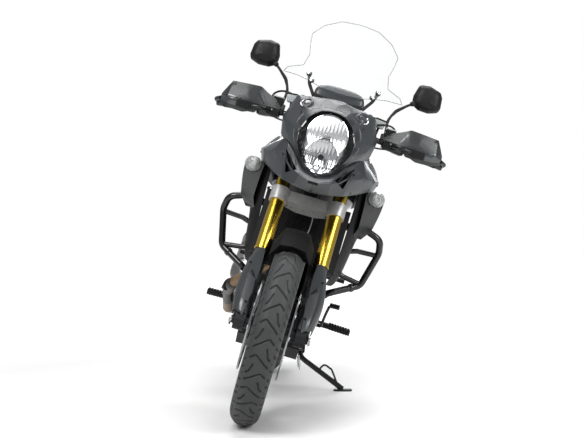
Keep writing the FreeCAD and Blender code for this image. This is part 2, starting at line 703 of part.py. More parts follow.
def rear_tyre():
    return [tyre(rear_tyre_radius, rear_tyre_half_width, rear_bead_radius, rear_bead_half_width,
                 wheelbase, rear_axle_height)]


def front_wheel_rim():
    side = front_disc_side - disc_thickness / 2
    return [wheel(front_bead_radius, front_bead_half_width, front_hub_radius, front_hub_half_width,
                  front_flange_radius, (side, side), 0, front_axle_height)]


def rear_wheel_rim():
    disc_face = rear_disc_side - disc_thickness / 2
    sprocket_face = chain_side - sprocket_thickness / 2
    return [wheel(rear_bead_radius, rear_bead_half_width, rear_hub_radius, rear_hub_half_width,
                  rear_flange_radius, (sprocket_face, disc_face), wheelbase, rear_axle_height)]


def front_brake_discs():
    low = front_disc_side - disc_thickness / 2
    disc = brake_disc(front_disc_radius, front_disc_inner_radius, disc_hub_radius, low,
                      low + disc_thickness, 0, front_axle_height)
    return both_sides(disc)


def rear_brake_disc():
    low = -rear_disc_side - disc_thickness / 2
    return [brake_disc(rear_disc_radius, rear_disc_inner_radius, rear_flange_radius - rim_wall, low,
                       low + disc_thickness, wheelbase, rear_axle_height)]


def toothed_plate(teeth, pitch_radius, low, high, y, z):
    step = 360 / teeth
    root = pitch_radius - roller_radius
    tip = pitch_radius + roller_radius
    points = []
    for tooth in range(teeth):
        base = tooth * step
        for turn, reach in ((-0.30, root), (-0.12, root), (0.18, tip), (0.40, tip)):
            angle = base + (turn + 0.21) * step
            points.append(Vector(low, y + reach * cosine(angle), z + reach * sine(angle)))
    return face_of(points).extrude(Vector(high - low, 0, 0))


def rear_sprocket():
    low = chain_side - sprocket_thickness / 2
    plate = toothed_plate(rear_teeth, rear_sprocket_radius, low, low + sprocket_thickness, wheelbase,
                          rear_axle_height)
    return [plate.cut(ring_x(rear_hub_radius, 0, -overrun, overrun, wheelbase, rear_axle_height))]


# Fork and steering
def front_axle():
    axle = ring_x(axle_radius, axle_bore_radius, -axle_end, axle_end, 0, 0)
    return axle


def fork_lower_legs():
    legs = []
    x = fork_half_space
    cast = Part.makeCylinder(lower_leg_radius, lower_leg_high - lower_leg_low,
                             Vector(x, fork_tube_offset, lower_leg_low))
    boss = ring_x(axle_boss_radius, 0, axle_boss_inner, axle_boss_outer, 0, 0)
    spacer = ring_x(spacer_radius, 0, spacer_inner, axle_boss_inner, 0, 0)
    inner = Part.makeCylinder(inner_tube_radius, outer_tube_low - lower_leg_high,
                              Vector(x, fork_tube_offset, lower_leg_high))
    leg = join([cast, boss, spacer, inner])
    hole = ring_x(axle_radius, 0, -overrun, overrun, 0, 0)
    leg = leg.cut(hole)
    for one in both_sides(leg):
        legs.append(to_fork(one))
    legs.append(to_fork(front_axle()))
    return legs


def fork_outer_tubes():
    x = fork_half_space
    ring_low = lower_clamp_low - clamp_ring_rise
    low = Part.makeCylinder(outer_tube_radius, ring_low - outer_tube_low,
                            Vector(x, fork_tube_offset, outer_tube_low))
    high = Part.makeCylinder(outer_tube_top_radius, outer_tube_high - ring_low,
                             Vector(x, fork_tube_offset, ring_low))
    return [to_fork(one) for one in both_sides(low.fuse(high))]


def clamp_plate(low, high, rise):
    """One fork clamp: two rings, a web between them and a pinch ear behind each ring."""
    x = fork_half_space
    radius = outer_tube_top_radius + clamp_wall
    ear_half, ear_back, ear_gap = [size(one) for one in lower_clamp_ear_shares]
    pieces = []
    for side in (-1, 1):
        foot = Vector(side * x, fork_tube_offset, low - rise)
        pieces.append(Part.makeCylinder(radius, high - low + rise, foot))
        corner = Vector(side * x - ear_half, fork_tube_offset, low)
        pieces.append(Part.makeBox(ear_half * 2, radius + ear_back, high - low, corner))
    front = fork_tube_offset - clamp_wall
    back = steering_offset + clamp_web_back
    half = [Vector(-x, steering_offset, low), Vector(-x, front, low)]
    web = [Vector(-clamp_web_back, back, low)] + half
    web = web + [Vector(-one.x, one.y, one.z) for one in reversed(web)]
    pieces.append(face_of(web).extrude(Vector(0, 0, high - low)))
    plate = join(pieces)
    spaces = []
    for side in (-1, 1):
        spaces.append(Part.makeCylinder(outer_tube_top_radius, overrun,
                                        Vector(side * x, fork_tube_offset, low - overrun / 2)))
        corner = Vector(side * x - ear_gap / 4, fork_tube_offset + radius / 2, low - overrun / 2)
        spaces.append(Part.makeBox(ear_gap / 2, overrun, overrun, corner))
    return plate.cut(Part.Compound(spaces))


def triple_clamps():
    lower = clamp_plate(lower_clamp_low, lower_clamp_high, clamp_ring_rise)
    upper = clamp_plate(upper_clamp_low, upper_clamp_high, 0)
    stem = Part.makeCylinder(stem_radius, upper_clamp_high - lower_clamp_low,
                             Vector(0, steering_offset, lower_clamp_low))
    whole = to_fork(join([lower, upper, stem]))
    block_x, block_y, block_z = [size(one) for one in bar_clamp_shares[0]]
    low_x, drop = [size(one) for one in bar_clamp_shares[1]]
    centre = at(handlebar_shares[0])
    risers = []
    for side in (-1, 1):
        low = Vector(side * block_x - low_x / 2, centre.y - block_y, centre.z - drop)
        high = Vector(side * block_x + low_x / 2, centre.y + block_y, centre.z + block_z)
        risers.append(box_between(low, high))
    whole = join([whole] + risers)
    return [whole.cut(rod(Vector(-overrun, centre.y, centre.z), Vector(overrun, centre.y, centre.z),
                          bar_middle_radius))]


def fork_guards():
    """Shells in front of and beside the fork legs, widest at two thirds of the way down."""
    wires = []
    for up, inner, outer, back in fork_guard_shares:
        s = size(up)
        front = fork_tube_offset - guard_outer_radius
        side = [Vector(size(inner), fork_tube_offset - size(back), s),
                Vector(size(inner) + thin_wall * 2, front, s),
                Vector(size(outer) - thin_wall * 4, front, s),
                Vector(size(outer), front + guard_outer_radius * 0.55, s),
                Vector(size(outer), fork_tube_offset + guard_wall * 3, s)]
        shifts = ((guard_wall, 0), (guard_wall * 0.8, guard_wall), (-guard_wall * 0.6, guard_wall),
                  (-guard_wall, guard_wall * 0.5), (-guard_wall, 0))
        back_side = [point + Vector(x, y, 0) for point, (x, y) in zip(side, shifts)]
        outline = side + list(reversed(back_side))
        wires.append(outline)
    shell = polygon_body(wires)
    front = fork_tube_offset - guard_outer_radius + guard_wall / 2
    low = Vector(fork_half_space - guard_wall, front, guard_low)
    high = Vector(fork_half_space + guard_wall, fork_tube_offset, guard_low + guard_outer_radius)
    rib = box_between(low, high)
    boss = ring_x(axle_boss_radius + thin_wall, 0, -overrun, overrun, 0, 0)
    shell = to_fork(shell.cut(boss).fuse(rib))
    return both_sides(cut_by(shell, "fork_lower_legs", "front_calipers", "front_mudguard"))


def front_mudguard():
    outer = mudguard_radius + mudguard_wall
    deep = mudguard_radius - front_tyre_half_width
    edge = mudguard_half_width
    profile = [(edge, deep), (edge * 0.62, mudguard_radius - mudguard_wall * 2), (0, mudguard_radius)]
    inner = profile + [(-x, r) for x, r in reversed(profile[:-1])]
    upper = [(edge + mudguard_wall, deep), (edge * 0.66, outer - mudguard_wall * 2), (0, outer)]
    out = upper + [(-x, r) for x, r in reversed(upper[:-1])]
    points = [Vector(x, 0, front_axle_height + r) for x, r in inner + list(reversed(out))]
    turn = mudguard_front_angle + mudguard_rear_angle
    face = face_of(points)
    face.rotate(Vector(0, 0, front_axle_height), Vector(1, 0, 0), mudguard_front_angle)
    shell = face.revolve(Vector(0, 0, front_axle_height), Vector(-1, 0, 0), turn)
    lugs = []
    front = fork_tube_offset - mudguard_lug_half_width
    back = fork_tube_offset + mudguard_lug_half_width
    tube_face = fork_half_space - inner_tube_radius / 2
    lug = box_between(Vector(edge + mudguard_wall / 2, front, mudguard_lug_low),
                      Vector(tube_face, back, mudguard_lug_high))
    arm = box_between(Vector(edge, front, mudguard_lug_low),
                      Vector(edge + mudguard_wall, back, mudguard_arm_high))
    tube_space = Part.makeCylinder(inner_tube_radius, overrun * 2,
                                   Vector(fork_half_space, fork_tube_offset, -overrun))
    for one in both_sides(lug.fuse(arm).cut(tube_space)):
        lugs.append(to_fork(one))
    return [join([shell] + lugs)]


def front_calipers():
    radius = caliper_centre_radius
    low_x = front_disc_side - caliper_width / 2
    block = Part.makeBox(caliper_width, caliper_length, caliper_depth,
                         Vector(low_x, -caliper_length / 2, radius - caliper_depth / 2))
    slot = Part.makeBox(caliper_slot, overrun, overrun,
                        Vector(front_disc_side - caliper_slot / 2, -overrun / 2,
                               radius - caliper_depth / 2 - overrun + caliper_depth * 0.8))
    block = block.cut(slot)
    block.rotate(Vector(0, 0, 0), Vector(1, 0, 0), -caliper_angle)
    cast = Part.makeCylinder(lower_leg_radius, lower_leg_high - lower_leg_low,
                             Vector(fork_half_space, fork_tube_offset, lower_leg_low))
    inner = Part.makeCylinder(inner_tube_radius, overrun, Vector(fork_half_space, fork_tube_offset, 0))
    boss = ring_x(axle_boss_radius, 0, spacer_inner, axle_boss_outer, 0, 0)
    block = block.cut(cast).cut(inner).cut(boss)
    return [to_fork(one) for one in both_sides(block)]


def handlebar():
    half = along(handlebar_shares)
    middle = rod(Vector(-half[1].x, half[1].y, half[1].z), half[1], bar_middle_radius)
    side = tube(half[1:], bar_radius, bar_bend)
    direction = (half[3] - half[2]).normalize()
    start = half[3] - direction * ((half[3].x - size(grip_start_share)) / direction.x)
    grip = rod(start, half[3], grip_radius)
    return [join([middle] + both_sides(side) + both_sides(grip))]


def bar_cutter(radius):
    """The handlebar's outer run as a cutter for what clamps on it."""
    half = along(handlebar_shares)
    direction = (half[3] - half[2]).normalize()
    return rod(half[2], half[3] + direction * bar_radius, radius)


def handlebar_controls():
    half = along(handlebar_shares)
    direction = (half[3] - half[2]).normalize()

    def on_bar(x):
        return half[3] - direction * ((half[3].x - x) / direction.x)
    perch = size(perch_share)
    start = on_bar(perch - bar_radius * 2)
    end = on_bar(perch + bar_radius * 4)
    pod = rod(start, end, grip_radius * 1.35)
    low_x, high_x, low_y, high_y, low_z, high_z = [size(one) for one in reservoir_shares]
    cup = box_between(Vector(low_x, low_y, low_z - bar_radius * 3), Vector(high_x, high_y, high_z))
    corners = [one for one in cup.Edges if abs(one.tangentAt(0).z) > 0.9]
    cup = cup.makeFillet(lever_radius, corners)
    blade = tube(along(lever_shares), lever_radius, bar_bend)
    arm = rod(on_bar(perch), at(lever_shares[0]), lever_radius * 1.5)
    control = join([pod, cup, arm, blade]).cut(bar_cutter(bar_radius))
    return both_sides(largest(control))


def handguards():
    """A creased shell in front of each grip, carried at the bar's end and by an inner bracket."""
    wires = []
    for x, top, crease, bottom in handguard_shares:
        outer = [Vector(size(x), size(y), size(z)) for y, z in (top, crease, bottom)]
        inner = [point + Vector(0, thin_wall, 0) for point in reversed(outer)]
        wires.append(outer + inner)
    shell = polygon_body(wires)
    bracket = tube(along(guard_bracket_shares), lever_radius * 1.4, bar_bend)
    inner_bracket = rod(at(guard_inner_bracket_shares[0]), at(guard_inner_bracket_shares[1]), lever_radius)
    end = at(handlebar_shares[3])
    direction = (end - at(handlebar_shares[2])).normalize()
    weight = rod(end, end + direction * grip_radius, grip_radius)
    whole = join([shell, bracket, inner_bracket, weight])
    return both_sides(cut_by(whole, "handlebar", "handlebar_controls"))


def mirrors():
    """A rounded trapezoid head with a flat glass face, on a bent stem from the lever's perch."""
    centre = at(mirror_centre_shares)
    wires = []
    for depth, part in zip(mirror_depth_shares, mirror_part_shares):
        corners = []
        for x, z in mirror_outline_shares:
            corners.append(centre + Vector(size(x) * part, size(depth), size(z) * part))
        wires.append(soft_outline(corners, size(mirror_bend_share)))
    head = Part.makeLoft(wires, True, True)
    stem = tube(along(mirror_stem_shares), mirror_stem_radius, bar_bend)
    return both_sides(cut_by(join([stem, head]), "handlebar", "handlebar_controls"))


# Frame, engine and body
def head_tube():
    tube_body = Part.makeCylinder(head_tube_radius, head_tube_high - head_tube_low,
                                  Vector(0, steering_offset, head_tube_low))
    return to_fork(tube_body)


def stem_space():
    space = Part.makeCylinder(stem_radius + fit_clearance, overrun * 2,
                              Vector(0, steering_offset, lower_clamp_low - overrun / 2))
    return to_fork(space)


def main_frame():
    sections = []
    for y, inner, outer, low, high in frame_beam_shares:
        corners = ((inner, low), (outer, low), (outer, high), (inner, high))
        sections.append([Vector(size(x), size(y), size(z)) for x, z in corners])
    beam = polygon_body(sections)
    low_side, high_side = [size(one) for one in pivot_plate_side_shares]
    plate = prism_x(pivot_plate_shares, low_side, high_side)
    side = join([beam, plate])
    whole = join([head_tube()] + both_sides(side))
    pivot = rod(Vector(-high_side, pivot_place, pivot_height), Vector(high_side, pivot_place, pivot_height),
                pivot_radius / 2)
    stay_half = size(cowl_stay_half_width_share)
    stay = prism_x(cowl_stay_shares, -stay_half, stay_half)
    dash_stay = prism_x(dash_stay_shares, -stay_half, stay_half)
    bar_y, bar_z = [size(one) for one in shock_shares[4:]]
    cross = rod(Vector(-high_side, bar_y, bar_z), Vector(high_side, bar_y, bar_z), size(shock_shares[3]))
    low, high = along(tank_lug_shares)
    lugs = both_sides(box_between(low, high).cut(Part.Compound(made("fuel_tank"))))
    whole = join([whole, pivot, stay, dash_stay, cross] + lugs).cut(stem_space())
    return [join([whole] + stand_bracket())]


def subframe():
    rail = tube(along(subframe_rail_shares), rail_radius, bar_bend)
    brace = tube(along(subframe_brace_shares), rail_radius, bar_bend)
    pieces = both_sides(rail) + both_sides(brace)
    for y, z, x in subframe_cross_shares:
        end = Vector(size(x), size(y), size(z))
        pieces.append(rod(Vector(-end.x, end.y, end.z), end, rail_radius * 0.8))
    return [cut_by(join(pieces), "main_frame")]


def engine_case():
    half = size(case_half_width_share)
    bulge = size(case_bulge_half_width_share)
    pieces = [prism_x(case_shares, -half, half), prism_x(case_bulge_shares, -bulge, bulge)]
    pieces.append(cover(clutch_cover_shares, clutch_place_shares, -1))
    pieces.append(cover(alternator_cover_shares, alternator_place_shares, 1))
    low_side, high_side = [size(one) for one in sprocket_cover_side_shares]
    pieces.append(prism_x(sprocket_cover_shares, low_side, high_side))
    y, z, radius, reach = [size(one) for one in case_lug_shares]
    pieces.append(ring_x(radius, 0, -reach, reach, y, z))
    low = chain_side - chain_inner_half_gap
    high = chain_side + chain_inner_half_gap
    pieces.append(ring_x(stem_radius, 0, half / 2, low, output_place, output_height))
    pieces.append(ring_x(front_sprocket_radius + roller_radius, 0, low, high, output_place, output_height))
    return [join(pieces)]


def engine_cylinders():
    """Two cylinders in a V, each a ribbed barrel, a head and a bevelled head cover."""
    centre = Vector(0, size(crank_shares[0]), size(crank_shares[1]))
    blocks = []
    for angle in (55, -35):
        rows = []
        for reach, half_x, half_y in cylinder_shares:
            rows.append(block_section(size(half_x), size(half_y), size(reach)))
        pieces = [polygon_body(rows[:2]), polygon_body(rows[2:])]
        for low, high in fin_shares:
            half_x = size(cylinder_shares[0][1]) + size(fin_margin_share)
            half_y = size(cylinder_shares[0][2]) + size(fin_margin_share)
            fin = face_of(block_section(half_x, half_y, size(low)))
            pieces.append(fin.extrude(Vector(0, 0, size(high - low))))
        block = join(pieces)
        block.rotate(Vector(0, 0, 0), Vector(1, 0, 0), angle)
        block.translate(centre)
        blocks.append(cut_by(block, "engine_case"))
    return blocks


def radiator():
    half = size(radiator_half_width_share)
    core_half, proud = [size(one) for one in radiator_tank_shares]
    core = prism_x(radiator_shares, -half, half)
    end = prism_x(radiator_shares, core_half, half)
    proud_end = end.copy()
    proud_end.translate(Vector(0, -proud, 0))
    ends = both_sides(end) + both_sides(proud_end)
    low, high = along(radiator_lug_shares)
    lugs = both_sides(box_between(low, high))
    return [cut_by(join([core] + ends + lugs), "main_frame")]


def exhaust_pipes():
    """Two headers that meet under the right footrest, the front one behind a heat shield."""
    path = along(header_front_shares)
    front = tube(path, exhaust_radius, exhaust_bend)
    rear = tube(along(header_rear_shares), exhaust_radius, exhaust_bend)
    start, end = [size(one) for one in heat_shield_shares]
    outer = tube(path, exhaust_radius + thin_wall * 2, exhaust_bend)
    keep = Part.makeBox(overrun, end - start, overrun, Vector(path[3].x - overrun, start, path[3].z))
    shield = outer.common(keep)
    return [cut_by(join([front, rear, shield]), "engine_case", "engine_cylinders")]


def muffler():
    start, end = along(muffler_shares)
    reach = (end - start).Length
    profile = [(reach * place, muffler_radius * part) for place, part in muffler_part_shares]
    return [cut_by(turned(start, end - start, profile), "exhaust_pipes")]


def fuel_tank():
    body = rounded_body(tank_shares, tank_part_shares, tank_bend)
    y, low, radius, high = [size(one) for one in filler_shares]
    cap = Part.makeCylinder(radius, high - low, Vector(0, y, low))
    return [join([body, cap])]


def seat():
    body = rounded_body(seat_shares, seat_part_shares, seat_bend)
    return [cut_by(body, "fuel_tank", "subframe")]


def tail_cowl():
    """The tail, and the side panels on the rails under the seat."""
    body = rounded_body(tail_shares, tail_part_shares, seat_bend / 2)
    low, high = [size(one) for one in side_panel_side_shares]
    outline = [Vector(low, size(y), size(z)) for y, z in side_panel_shares]
    panel = Part.Face(soft_outline(outline, seat_bend)).extrude(Vector(high - low, 0, 0))
    pieces = [panel]
    for y, z in side_panel_boss_shares:
        pieces.append(ring_x(lever_radius * 1.5, 0, high / 2, low, size(y), size(z)))
    panel = cut_by(join(pieces), "subframe", "main_frame", "seat")
    return [cut_by(body, "subframe", "seat")] + both_sides(panel)


def luggage_rack():
    half = along(rack_rail_shares)
    path = half + [Vector(-one.x, one.y, one.z) for one in reversed(half[:-1])]
    pieces = [tube(path, rack_tube_radius, crash_bar_bend)]
    for y, z, x in rack_cross_shares:
        end = Vector(size(x), size(y), size(z))
        pieces.append(rod(Vector(-end.x, end.y, end.z), end, rack_tube_radius * 0.8))
    high = size(rack_plate_high_share)
    low = high - size(rack_plate_thickness_share)
    (start, start_half), (end, end_half) = [(size(y), size(x)) for y, x in rack_plate_shares]
    corners = [Vector(-start_half, start, low), Vector(start_half, start, low), Vector(end_half, end, low),
               Vector(-end_half, end, low)]
    plate = Part.Face(soft_outline(corners, rack_tube_radius)).extrude(Vector(0, 0, high - low))
    middle = size(rack_bolt_middle_share)
    space = size(rack_bolt_half_space_share)
    for a in (-1, 1):
        for b in (-1, 1):
            plate = plate.cut(Part.makeCylinder(size(rack_bolt_radius_share), overrun,
                                                Vector(a * space, middle + b * space, low - overrun / 2)))
    return [cut_by(join(pieces + [plate]), "subframe", "seat", "tail_cowl")]


def tail_lamp():
    """The tail lamp, and a turn lamp on a stalk at each side of the plate holder."""
    half = size(tail_lamp_half_width_share)
    lamp = prism_x(tail_lamp_shares, -half, half)
    root, neck, tip = along(rear_indicator_shares)
    stalk = rod(root, neck, lever_radius)
    radius = size(rear_indicator_radius_share)
    reach = (tip - neck).Length
    head = turned(neck, tip - neck, [(0, radius * 0.5), (reach * 0.25, radius), (reach * 0.8, radius),
                                     (reach, radius * 0.55)])
    return [lamp] + both_sides(cut_by(join([stalk, head]), "rear_mudguard"))


def rear_mudguard():
    half = size(plate_holder_half_width_share)
    holder = prism_x(plate_holder_shares, -half, half)
    plate = prism_x(plate_shares, -half * 1.6, half * 1.6)
    return [cut_by(join([holder, plate]), "subframe", "tail_cowl")]


def skid_plate():
    half = size(skid_half_width_share)
    outer = prism_x(skid_shares, -half, half)
    inner = outer.copy()
    inner.translate(Vector(0, thin_wall, thin_wall))
    low, high = along(skid_post_shares)
    posts = both_sides(box_between(low, high))
    slots = []
    slot_half = size(skid_slot_half_share)
    floor = size(skid_shares[2][1])
    for y, width in skid_slot_shares:
        slots.append(box_between(Vector(-slot_half, size(y), 0),
                                 Vector(slot_half, size(y + width), floor + thin_wall * 2)))
    pan = outer.cut(inner).cut(Part.Compound(slots))
    return [cut_by(join([pan] + posts), "exhaust_pipes", "engine_case")]


def headlamp():
    """A lamp body that fills the cowl's opening, with two overlapping round lenses on its glass."""
    back = size(headlamp_back_share)
    rows = []
    for z, half, edge, middle in headlamp_shares:
        row = []
        for across, forward in headlamp_part_shares:
            row.append(Vector(size(half) * across, size(edge) + size(middle - edge) * forward, size(z)))
        narrow = size(half) * 0.7
        rows.append(row + [Vector(-narrow, back, size(z)), Vector(narrow, back, size(z))])
    body = polygon_body(rows)
    bowls = []
    for z, radius, y in lamp_lens_shares:
        face = Vector(0, size(y) - size(headlamp_bowl_share), size(z))
        bowls.append(Part.makeCylinder(size(radius), back - face.y, face, Vector(0, 1, 0)))
    return [cut_by(join([body] + bowls), "main_frame")]


def front_cowl():
    """A face ring round the lamp with a skirt behind its rim, and a round recess in each corner."""
    sections = []
    for bezel, rim, skirt in cowl_ring_shares:
        outer = [at(bezel), at(rim), at(skirt)]
        inward = 0 if rim[0] == 0 else -thin_wall
        drop = -thin_wall if rim[2] > bezel[2] else thin_wall
        inner = [outer[2] + Vector(inward, 0, drop), outer[1] + Vector(inward, thin_wall, drop),
                 outer[0] + Vector(0, thin_wall, 0)]
        sections.append(outer + inner)
    half = polygon_body(sections)
    place = at(cowl_recess_shares)
    inward = Vector(-0.408, 0.678, -0.612)
    cup = Part.makeCylinder(recess_radius + thin_wall, recess_depth, place, inward)
    hole_start = place - inward * recess_depth
    hole = Part.makeCylinder(recess_radius, recess_depth * 2 - thin_wall, hole_start, inward)
    half = half.fuse(cup).cut(hole)
    whole = join(both_sides(half))
    return [cut_by(whole, "headlamp", "main_frame")]


def windscreen():
    low, high = [Vector(0, size(y), size(z)) for y, z in screen_line_shares]
    direction = (high - low).normalize()
    normal = Vector(0, -direction.z, direction.y)
    radius = size(screen_radius_share)
    centre = low - normal * radius - direction * overrun
    length = (high - low).Length + overrun * 2
    wall = Part.makeCylinder(radius, length, centre, direction).cut(
        Part.makeCylinder(radius - thin_wall, length, centre, direction))
    half = list(screen_outline_shares)
    outline = half + [(-x, z) for x, z in reversed(half[1:-1])]
    front = prism_y(outline, 0, low.y + overrun)
    screen = wall.common(front)
    solids = sorted(screen.Solids, key=lambda one: one.Volume)
    return [solids[-1]]


def instrument_panel():
    sections = []
    for y, half, low, high in dash_shares:
        sections.append([Vector(size(a), size(y), size(b)) for a, b in
                         ((-half, low), (half, low), (half * 0.9, high), (-half * 0.9, high))])
    body = polygon_body(sections)
    post = tube(along(screen_post_shares), lever_radius, bar_bend)
    end = at(screen_post_shares[2])
    pad = rod(end, Vector(end.x, size(screen_pad_share), end.z), lever_radius * 1.6)
    whole = join([body] + both_sides(post) + both_sides(pad))
    return [cut_by(whole, "windscreen", "front_cowl", "main_frame")]


def front_indicators():
    """Drop shaped turn lamps on the side panels' front edge."""
    x, z = [size(one) for one in indicator_centre_shares]
    wires = []
    for y, half, tall in indicator_shares:
        corners = [Vector(x + size(half) * a, size(y), z + size(tall) * b)
                   for a, b in ((-1, 0.2), (-0.45, 1), (0.6, 0.9), (1, 0), (0.5, -1), (-0.5, -0.8))]
        wires.append(soft_outline(corners, size(tall) * 0.7))
    lamp = Part.makeLoft(wires, True, True)
    return both_sides(cut_by(lamp, "side_cowls"))


def side_cowls():
    """A shoulder panel from the beak back to the tank, and the scoop that hangs below it."""
    shoulder = []
    drops = ((0, -thin_wall), (-thin_wall, -thin_wall), (-thin_wall, 0), (-thin_wall, 0))
    for y, *places in shroud_shares:
        outer = [Vector(size(x), size(y), size(z)) for x, z in places]
        inner = [point + Vector(x, 0, z) for point, (x, z) in zip(outer, drops)]
        shoulder.append(outer + list(reversed(inner)))
    scoop = []
    for z, inner, corner, rear in wing_shares:
        face = [Vector(size(x), size(y), size(z)) for x, y in (inner, corner, rear)]
        shifts = ((0, thin_wall), (-thin_wall, thin_wall), (-thin_wall, 0))
        behind = [point + Vector(x, y, 0) for point, (x, y) in zip(face, shifts)]
        scoop.append(face + list(reversed(behind)))
    panel = join([polygon_body(shoulder), polygon_body(scoop)])
    return both_sides(cut_by(panel, "fuel_tank", "front_cowl", "beak"))


def crash_bars():
    """One bent bar round each side with a rounded hoop inside it."""
    main = tube(along(crash_upper_shares), crash_bar_radius, crash_bar_bend)
    inner = tube(along(crash_inner_shares), crash_bar_radius * 0.8, crash_bar_bend)
    whole = join([main, inner])
    names = ("engine_case", "main_frame", "side_cowls", "exhaust_pipes")
    return [cut_by(one, *names) for one in both_sides(whole)]


def footrests():
    low, high = [size(one) for one in hanger_side_shares]
    plate = prism_x(hanger_shares, low, high)
    front = tube(along(peg_shares), peg_radius, bar_bend)
    rear = tube(along(rear_peg_shares), peg_radius * 0.8, bar_bend)
    pieces = [plate, front, rear]
    start, end = along(peg_shares[1:])
    direction = (end - start).normalize()
    for count in range(peg_ribs):
        base = start + direction * ((end - start).Length * (0.12 + 0.84 * count / peg_ribs))
        pieces.append(rod(base, base + direction * thin_wall, peg_radius + thin_wall / 2))
    return both_sides(join(pieces))


def foot_controls():
    lever = tube(along(gear_lever_shares), lever_radius, bar_bend)
    tip = rod(at(gear_lever_shares[2]), at(gear_lever_shares[3]), lever_radius * 1.8)
    pedal = tube(along(brake_pedal_shares), lever_radius, bar_bend)
    pad = rod(at(brake_pedal_shares[2]), at(brake_pedal_shares[3]), lever_radius * 1.6)
    low, high = [size(one) for one in hanger_side_shares]
    start = at(gear_lever_shares[0])
    shaft = rod(Vector(high, start.y + lever_radius, start.z), start, lever_radius * 1.5)
    other = at(brake_pedal_shares[0])
    pivot = rod(Vector(-high, other.y + lever_radius, other.z), other, lever_radius * 1.5)
    return [cut_by(join([lever, tip, shaft]), "footrests"), cut_by(join([pedal, pad, pivot]), "footrests")]


def swingarm():
    sections = []
    for y, inner, outer, low, high in swing_arm_shares:
        sections.append([Vector(size(x), size(y), size(z)) for x, z in
                         ((inner, low), (outer, low), (outer, high), (inner, high))])
    arm = polygon_body(sections)
    inner = size(swing_arm_shares[0][1])
    cross = prism_x(swing_cross_shares, -inner - thin_wall * 3, inner + thin_wall * 3)
    outer = size(swing_arm_shares[4][2])
    block_y, block_z, proud = [size(one) for one in axle_block_shares]
    block_inner = size(swing_arm_shares[4][1])
    block = box_between(Vector(block_inner, wheelbase - block_y, rear_axle_height - block_z),
                        Vector(outer + proud, wheelbase + block_y, rear_axle_height + block_z))
    whole = join(both_sides(arm) + [cross] + both_sides(block))
    whole = whole.cut(ring_x(pivot_radius / 2, 0, -overrun, overrun, pivot_place, pivot_height))
    hole = ring_x(axle_radius, 0, -overrun, overrun, wheelbase, rear_axle_height)
    reach = outer + proud + bar_radius
    axle = ring_x(axle_radius, 0, -reach, reach, wheelbase, rear_axle_height)
    return [whole.cut(hole), axle]


def rear_shock():
    """A damper with its coil, from the frame's cross bar to the swinging arm."""
    top, low = along(shock_shares[:2])
    body = rod(low, top, size(shock_shares[2]) * 0.86)
    radius, wire = [size(one) for one in spring_shares]
    pieces = [body]
    reach = top - low
    for turn in range(spring_turns):
        place = low + reach * (0.2 + 0.6 * turn / spring_turns)
        pieces.append(Part.makeTorus(radius - wire, wire, place, reach))
    bar_y, bar_z = [size(one) for one in shock_shares[4:]]
    bar = rod(Vector(-overrun, bar_y, bar_z), Vector(overrun, bar_y, bar_z), size(shock_shares[3]))
    return [cut_by(join(pieces).cut(bar), "swingarm")]


def belt(radius_offset):
    """The loop around both sprockets at one distance outside the pitch line."""
    big = rear_sprocket_radius + radius_offset
    small = front_sprocket_radius + radius_offset
    dy = wheelbase - output_place
    dz = rear_axle_height - output_height
    distance = math.hypot(dy, dz)
    along_line = Vector(0, dy, dz).normalize()
    up = Vector(0, -along_line.z, along_line.y)
    tilt = math.asin((big - small) / distance)
    front_centre = Vector(0, output_place, output_height)
    rear_centre = Vector(0, wheelbase, rear_axle_height)
    high = up * math.cos(tilt) - along_line * math.sin(tilt)
    low = up * (-math.cos(tilt)) - along_line * math.sin(tilt)
    upper = (front_centre + high * small, rear_centre + high * big)
    lower = (front_centre + low * small, rear_centre + low * big)
    front_mid = front_centre - along_line * small
    rear_mid = rear_centre + along_line * big
    wire = Part.Wire([Part.LineSegment(upper[0], upper[1]).toShape(),
                      Part.Arc(upper[1], rear_mid, lower[1]).toShape(),
                      Part.LineSegment(lower[1], lower[0]).toShape(),
                      Part.Arc(lower[0], front_mid, upper[0]).toShape()])
    return wire, upper, lower


def chain():
    """Two side strips round the sprockets with a many-sided roller at each link between them."""
    outer = belt(chain_half_height)[0]
    inner = belt(-chain_half_height)[0]
    face = Part.Face(outer).cut(Part.Face(inner))
    pieces = []
    for low in (chain_side - chain_inner_half_gap - chain_strip_width, chain_side + chain_inner_half_gap):
        strip = face.extrude(Vector(chain_strip_width, 0, 0))
        strip.translate(Vector(low, 0, 0))
        pieces.append(strip)
    middle, upper, lower = belt(0)
    rear_centre = Vector(0, wheelbase, rear_axle_height)
    front_centre = Vector(0, output_place, output_height)
    low = chain_side - chain_inner_half_gap - chain_strip_width / 2
    high = chain_side + chain_inner_half_gap + chain_strip_width / 2
    corners = [(roller_radius * cosine(60 * step), roller_radius * sine(60 * step)) for step in range(6)]
    for start, end in (upper, lower):
        run = end - start
        for step in range(int(run.Length / chain_pitch)):
            place = start + run * (chain_pitch * (step + 0.5) / run.Length)
            rear_free = (place - rear_centre).Length > rear_sprocket_radius + roller_radius * 3
            front_reach = front_sprocket_radius + roller_radius * 2 + fit_clearance
            front_free = (place - front_centre).Length > front_reach
            if rear_free and front_free:
                points = [Vector(low, place.y + y, place.z + z) for y, z in corners]
                pieces.append(face_of(points).extrude(Vector(high - low, 0, 0)))
    return [join(pieces)]


def chain_guard():
    """A strip over the chain's upper run, on a foot at each end."""
    outer = chain_side + chain_inner_half_gap + chain_strip_width * 3
    pieces = [prism_x(chain_guard_shares, chain_side - chain_inner_half_gap * 2.4, outer)]
    for low, high in chain_guard_foot_shares:
        pieces.append(box_between(at(low), at(high)))
    return [cut_by(join(pieces), "swingarm")]


